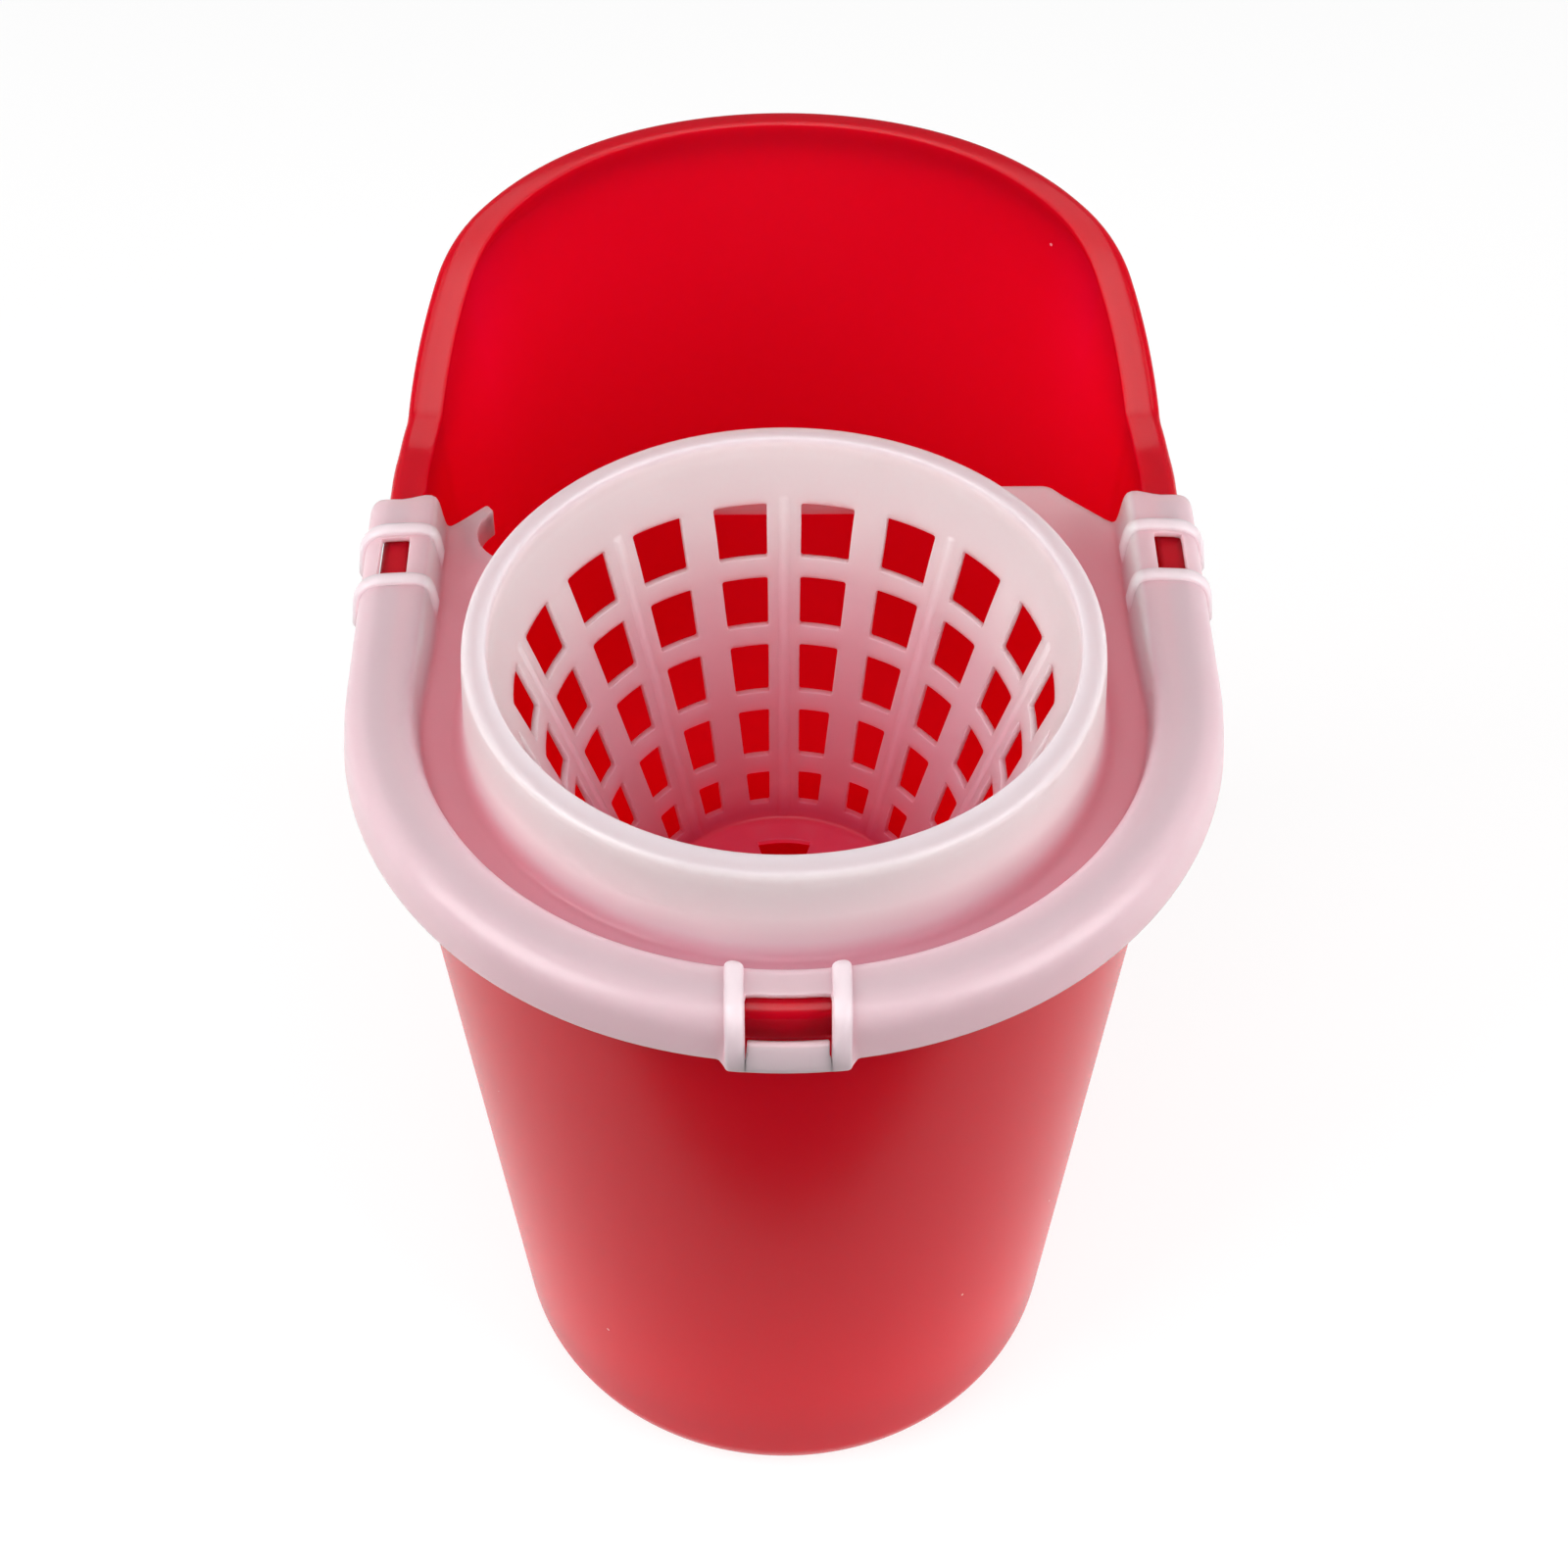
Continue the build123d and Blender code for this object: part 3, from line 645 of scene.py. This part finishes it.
    # ---- rear edge of the deck with its turned-down lip and the handle rest
    def rounded(points):
        out = []
        n = len(points)
        for i, (x, y, r) in enumerate(points):
            if r <= 0 or i in (0, n - 1):
                out.append((x, y))
                continue
            p, a, b = np.array([x, y]), np.array(points[i - 1][:2]), np.array(points[i + 1][:2])
            da, db = (a - p) / np.linalg.norm(a - p), (b - p) / np.linalg.norm(b - p)
            ang = math.acos(np.clip(da @ db, -1, 1))
            t = r / math.tan(ang / 2)
            c = p + (da + db) / np.linalg.norm(da + db) * (r / math.sin(ang / 2))
            s0, s1 = p + da * t, p + db * t
            a0, a1 = math.atan2(*(s0 - c)[::-1]), math.atan2(*(s1 - c)[::-1])
            dlt = (a1 - a0 + math.pi) % (2 * math.pi) - math.pi
            for k in range(7):
                w = a0 + dlt * k / 6
                out.append((c[0] + r * math.cos(w), c[1] + r * math.sin(w)))
        return out

    nx_, ny_, nr = -88.5, 86.0, 15.0
    tip = 226.1                                           # the round rest runs on to the blunt end of the tooth beside it
    path = rounded([(112.9, 89.0, 0), (97.9, 102.6, 6.0), (92.5, 108.3, 6.0), (nx_ + nr, 108.3, 3.0), (nx_ + nr, ny_, 0)])
    path += [(nx_ + nr * math.cos(rad(a)), ny_ + nr * math.sin(rad(a))) for a in np.linspace(0, -tip + 6, 31)[1:]]
    tx, ty = nx_ + nr * math.cos(rad(tip)), ny_ - nr * math.sin(rad(tip))
    path += rounded([path[-1] + (0,), (tx, ty, 0.8), (-101.3, 100.0, 1.0), (-112.9, 89.0, 0)])[1:]
    path = np.array(path)
    fine = [path[0]]
    for a, b in zip(path[:-1], path[1:]):
        n = max(1, int(np.linalg.norm(b - a) / 3.0))
        for k in range(1, n + 1):
            fine.append(a + (b - a) * k / n)
    path = np.array(fine)
    keep = np.concatenate([[True], np.linalg.norm(np.diff(path, axis=0), axis=1) > 1e-6])
    path = path[keep]
    d = np.gradient(path, axis=0)
    d = d / np.linalg.norm(d, axis=1)[:, None]
    inward = np.stack([-d[:, 1], d[:, 0]], -1)            # to the left of a right-to-left walk along the back
    run = np.concatenate([[0], np.cumsum(np.linalg.norm(np.diff(path, axis=0), axis=1))])
    deep = 2.2 + 8.8 * smooth(0.5, 11.0, np.minimum(run, run[-1] - run))
    zt = -34.0
    near = np.linalg.norm(path - np.array([-100.3, 98.6]), axis=1)
    slim = (0.45 + 0.55 * smooth(2.0, 9.0, near))[:, None]  # the skin runs together in the tooth's end
    inward = inward * slim
    rows = []
    for off, dz in ((0.55, 0.0), (0.22, -0.12), (0.0, -0.55)):
        rows.append(np.column_stack([path + inward * off, np.full(len(path), zt + dz)]))
    rows.append(np.column_stack([path, zt - deep + 0.5]))
    rows.append(np.column_stack([path + inward * 0.2, zt - deep + 0.12]))
    rows.append(np.column_stack([path + inward * 0.6, zt - deep]))
    rows.append(np.column_stack([path + inward * 1.6, zt - deep]))
    rows.append(np.column_stack([path + inward * 2.0, zt - deep + 0.12]))
    rows.append(np.column_stack([path + inward * 2.2, zt - deep + 0.5]))
    rows.append(np.column_stack([path + inward * 2.2, np.full(len(path), -36.7)]))
    rows.append(np.column_stack([path + inward * 2.5, np.full(len(path), -36.3)]))
    rows.append(np.column_stack([path + inward * 3.0, np.full(len(path), -36.2)]))
    rows = turned(rows)
    n_r = len(rows)
    for j, u in ((0, 0), (-1, n_u - 1)):
        for q in range(n_r):
            t = q / (n_r - 1)
            rows[q, j] = top[u, 0] * (1 - t) + bot[u, 0] * t
    ri_ = s.add(rows)
    s.quads(ri_)
    # ends of the channel
    for u, j in ((0, 0), (n_u - 1, -1)):
        s.face([ti[u, 0], ti[u, 1], bi[u, 1], bi[u, 0]] + [ri_[q, j] for q in range(n_r - 2, 0, -1)])
        s.band([ti[u, 1:-1], bi[u, 1:-1]], closed=False)
        s.face([ti[u, -2], ti[u, -1]] + [row[u] for row in edge[1:-1]] + [bi[u, -1], bi[u, -2]])

    top_loop = list(ti[:, 0]) + list(ri_[0, ::-1][1:-1])
    bot_loop = list(bi[:, 0]) + list(ri_[-1, ::-1][1:-1])
    fills = [(list(lt[-1]), top_loop), (list(lu[-1]), bot_loop)]
    return s.build("wringer_moulding", fills=fills, z0=LIP_Z)


# ---------------------------------------------------------------- snap tongue
def make_catch():
    sec = [(141.9, -39.3), (142.6, -38.6), (142.75, -37.3), (142.35, -35.9), (141.75, -34.5), (141.1, -32.8), (140.6, -31.4), (140.15, -30.1), (139.95, -29.6),
           (139.6, -29.28), (139.1, -29.16), (138.55, -29.24), (138.1, -29.55), (137.75, -30.2), (137.75, -31.1), (137.85, -32.4), (138.0, -34.0), (137.95, -35.2),
           (137.55, -35.9), (136.8, -36.15), (134.5, -36.25), (132.95, -36.35), (132.35, -36.6), (132.05, -37.0), (132.12, -37.5), (132.6, -38.0), (133.6, -38.4),
           (136.5, -38.9), (139.0, -39.25), (140.2, -39.3)]
    sec = np.array(sec)
    s = Skin()
    loops = []
    mid = sec.mean(0)
    shares = [0.0, 0.006, 0.018, 0.1, 0.25, 0.4, 0.55, 0.7, 0.85, 0.982, 0.994, 1.0]
    pull = [0.3, 0.09, 0.0, 0, 0, 0, 0, 0, 0, 0.0, 0.09, 0.3]
    tan = np.roll(sec, -1, 0) - np.roll(sec, 1, 0)
    nin = np.stack([tan[:, 1], -tan[:, 0]], -1)
    nin = nin / np.linalg.norm(nin, axis=1)[:, None]
    nin = nin * np.sign(((mid - sec) * nin).sum(1).mean())
    outer = (sec[:, 0] > 138.7) & (sec[:, 1] < -33.0)
    for w, p in zip(shares, pull):
        q = sec + nin * p * np.where(outer, smooth(-34.6, -33.4, sec[:, 1]), 1.0)[:, None]
        # a slit each side of the free edge; under it the tongue runs into the beads
        slim = -0.25 + 0.9 * np.maximum(smooth(-34.4, -33.4, sec[:, 1]), sec[:, 0] < 138.3)
        x0, x1 = FRONT_WINDOW[0] + slim, FRONT_WINDOW[1] - slim
        x = x0 + (x1 - x0) * w
        y = -np.sqrt(q[:, 0] ** 2 - x ** 2)
        loops.append(s.add(turned(np.stack([x, y, q[:, 1]], -1))))
    s.band(loops, closed=True)
    s.face(loops[0])
    s.face(loops[-1][::-1])
    return s.build("snap_tongue", z0=LIP_Z)


bucket = make_bucket()
wringer = make_wringer()
catch = make_catch()


# ---------------------------------------------------------------- materials
def new_material(name):
    m = bpy.data.materials.new(name)
    m.use_nodes = True
    nt = m.node_tree
    bsdf = nt.nodes["Principled BSDF"]
    return m, nt, bsdf


def node(nt, kind, **kw):
    n = nt.nodes.new(kind)
    for k, v in kw.items():
        if k == "inputs":
            for i, val in v.items():
                n.inputs[i].default_value = val
        else:
            setattr(n, k, v)
    return n


def ramp(nt, stops, fac):
    r = nt.nodes.new("ShaderNodeValToRGB")
    el = r.color_ramp.elements
    while len(el) < len(stops):
        el.new(0.5)
    for e, (pos, col) in zip(el, stops):
        e.position = pos
        e.color = col if len(col) == 4 else (*col, 1.0)
    nt.links.new(fac, r.inputs["Fac"])
    return r


def red_plastic():
    m, nt, b = new_material("red_polypropylene")
    co = node(nt, "ShaderNodeTexCoord")
    # slow flow shading of the moulded colour
    flow = node(nt, "ShaderNodeTexNoise", inputs={"Scale": 6.0, "Detail": 1.0, "Roughness": 0.4})
    nt.links.new(co.outputs["Object"], flow.inputs["Vector"])
    tint = ramp(nt, [(0.0, (0.455, 0.0012, 0.0090)), (1.0, (0.495, 0.0016, 0.0110))], flow.outputs["Fac"])
    # sparse dust
    dust = node(nt, "ShaderNodeTexVoronoi", inputs={"Scale": 95.0, "Randomness": 1.0})
    nt.links.new(co.outputs["Object"], dust.inputs["Vector"])
    spot = node(nt, "ShaderNodeMath", operation="LESS_THAN", inputs={1: 0.055})
    nt.links.new(dust.outputs["Distance"], spot.inputs[0])
    pick = node(nt, "ShaderNodeSeparateColor")
    nt.links.new(dust.outputs["Color"], pick.inputs["Color"])
    rare = node(nt, "ShaderNodeMath", operation="GREATER_THAN", inputs={1: 0.965})
    nt.links.new(pick.outputs["Red"], rare.inputs[0])
    both = node(nt, "ShaderNodeMath", operation="MULTIPLY")
    nt.links.new(spot.outputs[0], both.inputs[0])
    nt.links.new(rare.outputs[0], both.inputs[1])
    soft = node(nt, "ShaderNodeMath", operation="MULTIPLY", inputs={1: 0.5})
    nt.links.new(both.outputs[0], soft.inputs[0])
    mix = node(nt, "ShaderNodeMix", data_type="RGBA", inputs={7: (0.8, 0.62, 0.6, 1.0)})
    nt.links.new(soft.outputs[0], mix.inputs[0])
    nt.links.new(tint.outputs["Color"], mix.inputs[6])
    nt.links.new(mix.outputs[2], b.inputs["Base Color"])
    # satin gloss, a little uneven
    haze = node(nt, "ShaderNodeTexNoise", inputs={"Scale": 16.0, "Detail": 1.5})
    nt.links.new(co.outputs["Object"], haze.inputs["Vector"])
    rough = node(nt, "ShaderNodeMapRange", inputs={"From Min": 0.0, "From Max": 1.0, "To Min": 0.215, "To Max": 0.245})
    nt.links.new(haze.outputs["Fac"], rough.inputs["Value"])
    nt.links.new(rough.outputs[0], b.inputs["Roughness"])
    b.inputs["IOR"].default_value = 1.45
    b.inputs["Specular IOR Level"].default_value = 0.10
    # light shows through the wall in its own red
    b.inputs["Subsurface Weight"].default_value = 1.0
    b.inputs["Subsurface Radius"].default_value = (1.0, 0.12, 0.4)
    b.inputs["Subsurface Scale"].default_value = 0.016
    # fine mould texture
    peel = node(nt, "ShaderNodeTexNoise", inputs={"Scale": 900.0, "Detail": 2.0})
    nt.links.new(co.outputs["Object"], peel.inputs["Vector"])
    bump = node(nt, "ShaderNodeBump", inputs={"Strength": 0.05, "Distance": 0.0002})
    nt.links.new(peel.outputs["Fac"], bump.inputs["Height"])
    nt.links.new(bump.outputs[0], b.inputs["Normal"])
    return m


# painted light in the natural plastic's base colour, by height: painted pink glow for the red bucket showing through,
# painted shade deep in the cup and on the lip's top
CUP_PAINTED_GLOW_SHADE = [(0.0, (0.45, 0.052, 0.110)), (0.05, (0.54, 0.078, 0.155)), (0.12, (0.82, 0.22, 0.30)), (0.35, (0.87, 0.345, 0.43)), (0.6, (0.88, 0.49, 0.565)), (0.8, (0.94, 0.84, 0.87)), (0.93, (0.96, 0.92, 0.945)), (0.953, (0.92, 0.84, 0.87)), (0.964, (0.68, 0.605, 0.65))]
# painted pink glow on the deck, painted shade on the lip's top
TROUGH_PAINTED_GLOW_SHADE = [(0.0, (0.81, 0.31, 0.38)), (0.715, (0.81, 0.31, 0.38)), (0.735, (0.81, 0.37, 0.435)), (0.77, (0.86, 0.66, 0.71)), (0.83, (0.95, 0.89, 0.915)), (0.93, (0.96, 0.92, 0.945)), (0.953, (0.92, 0.84, 0.87)), (0.964, (0.68, 0.605, 0.65))]
# painted shade: the deck darker towards the front, with the painted pink glow
FRONT_PAINTED_GLOW_SHADE = [(0.0, (0.59, 0.255, 0.325)), (0.715, (0.59, 0.255, 0.325)), (0.735, (0.60, 0.30, 0.37)), (0.77, (0.72, 0.58, 0.63)), (0.84, (0.93, 0.87, 0.895)), (0.93, (0.96, 0.91, 0.935)), (0.953, (0.92, 0.84, 0.87)), (0.964, (0.68, 0.605, 0.65))]
# painted pink glow, paler at the rear edge
REAR_PAINTED_GLOW = [(0.0, (0.88, 0.50, 0.56)), (0.735, (0.88, 0.56, 0.61)), (0.80, (0.93, 0.78, 0.80))]
# painted pink glow on the channel
SKIRT_PAINTED_GLOW = [(0.0, (0.90, 0.47, 0.53)), (0.72, (0.91, 0.48, 0.54)), (0.80, (0.92, 0.49, 0.55)), (1.0, (0.92, 0.50, 0.555))]
# painted glow and shade at the beads and the clip's foot: less pink, greyer and darker
BEAD_PAINTED_GLOW_SHADE = [(0.0, (0.48, 0.39, 0.415)), (0.72, (0.50, 0.41, 0.435)), (0.76, (0.62, 0.50, 0.54)), (0.84, (0.78, 0.61, 0.66))]


def natural_plastic():
    m, nt, b = new_material("natural_polypropylene")
    co = node(nt, "ShaderNodeTexCoord")
    cloud = node(nt, "ShaderNodeTexNoise", inputs={"Scale": 14.0, "Detail": 3.0})
    nt.links.new(co.outputs["Object"], cloud.inputs["Vector"])

    def maths(op, *args):
        n = node(nt, "ShaderNodeMath", operation=op)
        for i, a in enumerate(args):
            if isinstance(a, (int, float)):
                n.inputs[i].default_value = a
            else:
                nt.links.new(a, n.inputs[i])
        return n.outputs[0]

    def ease(value, lo, hi):
        n = node(nt, "ShaderNodeMapRange", interpolation_type="SMOOTHSTEP", inputs={1: lo, 2: hi, 3: 0.0, 4: 1.0})
        nt.links.new(value, n.inputs[0])
        return n.outputs[0]

    def blend(fac, a, b):
        n = node(nt, "ShaderNodeMix", data_type="RGBA")
        nt.links.new(fac, n.inputs[0])
        nt.links.new(a, n.inputs[6])
        nt.links.new(b, n.inputs[7])
        return n.outputs[2]

    # distance from the cup's axis and height over the lip, in mm
    xyz = node(nt, "ShaderNodeSeparateXYZ")
    nt.links.new(co.outputs["Object"], xyz.inputs[0])
    px = maths("MULTIPLY", xyz.outputs["X"], 1000.0)
    py = maths("ADD", maths("MULTIPLY", xyz.outputs["Y"], 1000.0), Y_SHIFT)
    pz = maths("SUBTRACT", maths("MULTIPLY", xyz.outputs["Z"], 1000.0), LIP_Z)
    far = maths("SQRT", maths("ADD", maths("MULTIPLY", px, px), maths("MULTIPLY", py, py)))
    across = maths("MAXIMUM", maths("ABSOLUTE", px), maths("MULTIPLY", far, maths("LESS_THAN", py, 0.0)))
    wander = maths("MULTIPLY", maths("SUBTRACT", cloud.outputs["Fac"], 0.5), 3.0)
    height = maths("DIVIDE", maths("ADD", maths("ADD", pz, wander), 140.0), 145.0)       # 0 at the cup's floor, 1 over the lip
    # painted light in the base colour: a painted pink glow stands for the red bucket showing through the thin wall,
    # most in the depth of the cup and on the deck; painted shade darkens the deep cup and the lip's top
    cup = ramp(nt, CUP_PAINTED_GLOW_SHADE, height)
    trough = ramp(nt, TROUGH_PAINTED_GLOW_SHADE, height)
    skirt = ramp(nt, SKIRT_PAINTED_GLOW, height)
    outside = ease(maths("SUBTRACT", far, maths("ADD", maths("MULTIPLY", pz, SLOPE), CUP_R)), 2.6, 6.0)
    # painted light where the plastic is thicker: less of the painted pink glow at the beads, the clip's foot and the
    # rear edge; the beads and the foot are also painted greyer and darker
    c_t, s_t = math.cos(rad(TURN)), math.sin(rad(TURN))
    qx = maths("ABSOLUTE", maths("ADD", maths("MULTIPLY", px, c_t), maths("MULTIPLY", py, s_t)))
    qy = maths("SUBTRACT", maths("MULTIPLY", py, c_t), maths("MULTIPLY", px, s_t))
    beads = maths("MULTIPLY", maths("SUBTRACT", 1.0, ease(maths("ABSOLUTE", maths("SUBTRACT", qx, FRONT_BEADS[1][0])), 2.3, 3.3)), maths("LESS_THAN", qy, -100.0))
    clip = maths("MULTIPLY", maths("SUBTRACT", 1.0, ease(qx, 17.6, 18.8)), maths("SUBTRACT", 1.0, ease(pz, -30.5, -28.0)))
    beads = maths("MAXIMUM", beads, maths("MULTIPLY", clip, maths("LESS_THAN", qy, -100.0)))
    for mid, half in SIDE_BEADS:
        one = maths("SUBTRACT", 1.0, ease(maths("ABSOLUTE", maths("SUBTRACT", qy, mid)), half - 0.5, half + 0.5))
        beads = maths("MAXIMUM", beads, maths("MULTIPLY", one, maths("GREATER_THAN", qx, 110.0)))
    rear = ease(qy, 66.0, 104.0)
    # painted shade towards the front of the deck
    fore = maths("SUBTRACT", 1.0, ease(qy, -105.0, -50.0))
    deck = blend(fore, trough.outputs["Color"], ramp(nt, FRONT_PAINTED_GLOW_SHADE, height).outputs["Color"])
    deck = blend(rear, deck, ramp(nt, REAR_PAINTED_GLOW, height).outputs["Color"])
    skirt = blend(beads, skirt.outputs["Color"], ramp(nt, BEAD_PAINTED_GLOW_SHADE, height).outputs["Color"])
    colour = blend(outside, cup.outputs["Color"], blend(ease(across, 115.3, 118.3), deck, skirt))
    nt.links.new(colour, b.inputs["Base Color"])
    haze = node(nt, "ShaderNodeTexNoise", inputs={"Scale": 45.0, "Detail": 3.0})
    nt.links.new(co.outputs["Object"], haze.inputs["Vector"])
    rough = node(nt, "ShaderNodeMapRange", inputs={"From Min": 0.0, "From Max": 1.0, "To Min": 0.29, "To Max": 0.34})
    nt.links.new(haze.outputs["Fac"], rough.inputs["Value"])
    nt.links.new(rough.outputs[0], b.inputs["Roughness"])
    b.inputs["IOR"].default_value = 1.49
    b.inputs["Specular IOR Level"].default_value = 0.40
    b.inputs["Subsurface Weight"].default_value = 1.0
    b.inputs["Subsurface Radius"].default_value = (1.0, 1.0, 1.0)
    b.inputs["Subsurface Scale"].default_value = 0.015
    peel = node(nt, "ShaderNodeTexNoise", inputs={"Scale": 700.0, "Detail": 2.0})
    nt.links.new(co.outputs["Object"], peel.inputs["Vector"])
    bump = node(nt, "ShaderNodeBump", inputs={"Strength": 0.04, "Distance": 0.0002})
    nt.links.new(peel.outputs["Fac"], bump.inputs["Height"])
    nt.links.new(bump.outputs[0], b.inputs["Normal"])
    return m


RED, NATURAL = red_plastic(), natural_plastic()
for obj, mat, body, nd, slot in ((bucket, RED, "bucket", "bucket", "red_plastic"), (wringer, NATURAL, "wringer", "wringer", "natural_plastic"),
                                 (catch, NATURAL, "front_catch", "front_catch", "natural_plastic")):
    obj.data.materials.append(mat)
    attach(obj, body)
    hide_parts(nd)

# ---------------------------------------------------------------- floor, light, camera
fm, fnt, fb = new_material("pale_floor")
fb.inputs["Roughness"].default_value = 0.7
fb.inputs["Emission Color"].default_value = (1.0, 1.0, 1.0, 1.0)
fb.inputs["Emission Strength"].default_value = 0.76
fno = node(fnt, "ShaderNodeTexNoise", inputs={"Scale": 3.0})
fr = ramp(fnt, [(0.3, (0.25, 0.25, 0.25)), (0.7, (0.27, 0.27, 0.27))], fno.outputs["Fac"])
fnt.links.new(fr.outputs["Color"], fb.inputs["Base Color"])
fme = bpy.data.meshes.new("floor")
fme.from_pydata([(-4, -0.252, 0), (4, -0.252, 0), (4, 5, 0), (-4, 5, 0)], [], [(0, 1, 2, 3)])
floor = bpy.data.objects.new("floor", fme)
floor.data.materials.append(fm)
bpy.context.scene.collection.objects.link(floor)

world = bpy.data.worlds.new("studio")
bpy.context.scene.world = world
world.use_nodes = True
bg = world.node_tree.nodes["Background"]
bg.inputs["Color"].default_value = (1.0, 1.0, 1.0, 1.0)
wt = world.node_tree
wco = node(wt, "ShaderNodeTexCoord")
wsep = node(wt, "ShaderNodeSeparateXYZ")
wt.links.new(wco.outputs["Generated"], wsep.inputs[0])
wmap = node(wt, "ShaderNodeMapRange", inputs={1: 0.0, 2: 0.12, 3: 0.02, 4: 1.0})      # dark under the table top
wt.links.new(wsep.outputs["Z"], wmap.inputs[0])
wback = node(wt, "ShaderNodeMapRange", interpolation_type="SMOOTHSTEP", inputs={1: -0.1, 2: 0.6, 3: 0.20, 4: 0.58})      # pale wall behind
wt.links.new(wsep.outputs["Y"], wback.inputs[0])
wmul = node(wt, "ShaderNodeMath", operation="MULTIPLY")
wt.links.new(wmap.outputs[0], wmul.inputs[0])
wt.links.new(wback.outputs[0], wmul.inputs[1])
wt.links.new(wmul.outputs[0], bg.inputs["Strength"])


def area(name, loc, target, size, power, color=(1, 1, 1)):
    d = bpy.data.lights.new(name, "AREA")
    d.shape = "RECTANGLE"
    d.size, d.size_y = size
    d.energy = power
    d.color = color
    o = bpy.data.objects.new(name, d)
    bpy.context.scene.collection.objects.link(o)
    o.location = loc
    v = np.array(target, float) - np.array(loc, float)
    o.rotation_euler = Vector(v).to_track_quat("-Z", "Y").to_euler()
    return o


area("key_left", (-1.25, -0.62, 1.10), (0, 0, 0.25), (1.2, 1.2), 25)
area("key_right", (1.30, -0.70, 0.85), (0, 0, 0.25), (1.2, 1.2), 23)
area("front_soft", (0.0, -1.05, 1.90), (0, 0, 0.30), (1.0, 0.7), 7.5)
# white cards over the lens and overhead, seen in the red gloss only
shine = bpy.data.collections.new("red_gloss")
shine.objects.link(bucket)
for name, loc, size, power in (("front_card", (0.0, -1.0, 1.95), (2.2, 1.5), 75), ("top_card", (0.0, 0.45, 2.25), (2.2, 1.9), 72)):
    card = area(name, loc, (0, 0, 0.30), size, power)
    card.visible_diffuse = False
    card.visible_transmission = False
    card.visible_camera = False
    card.light_linking.receiver_collection = shine
glow = area("wall_glow", (0.0, 0.0, 0.03), (0, 0, 0.4), (0.13, 0.2), 0.23, (1.0, 0.02, 0.06))      # what the red wall lets through
glow.visible_camera = False

cam_data = bpy.data.cameras.new("camera")
cam_data.sensor_width = 36.0
cam_data.lens = 2938.5 / 1600.0 * 36.0
cam_data.clip_start, cam_data.clip_end = 0.01, 50.0
cam = bpy.data.objects.new("camera", cam_data)
bpy.context.scene.collection.objects.link(cam)
cam.location = (0.0, (-648.72 - Y_SHIFT) * 0.001, (623.77 + LIP_Z) * 0.001)
cam.rotation_euler = (rad(90 - 46.876), 0.0, 0.0)
scene = bpy.context.scene
scene.camera = cam
scene.view_settings.view_transform = "Standard"
scene.view_settings.look = "None"
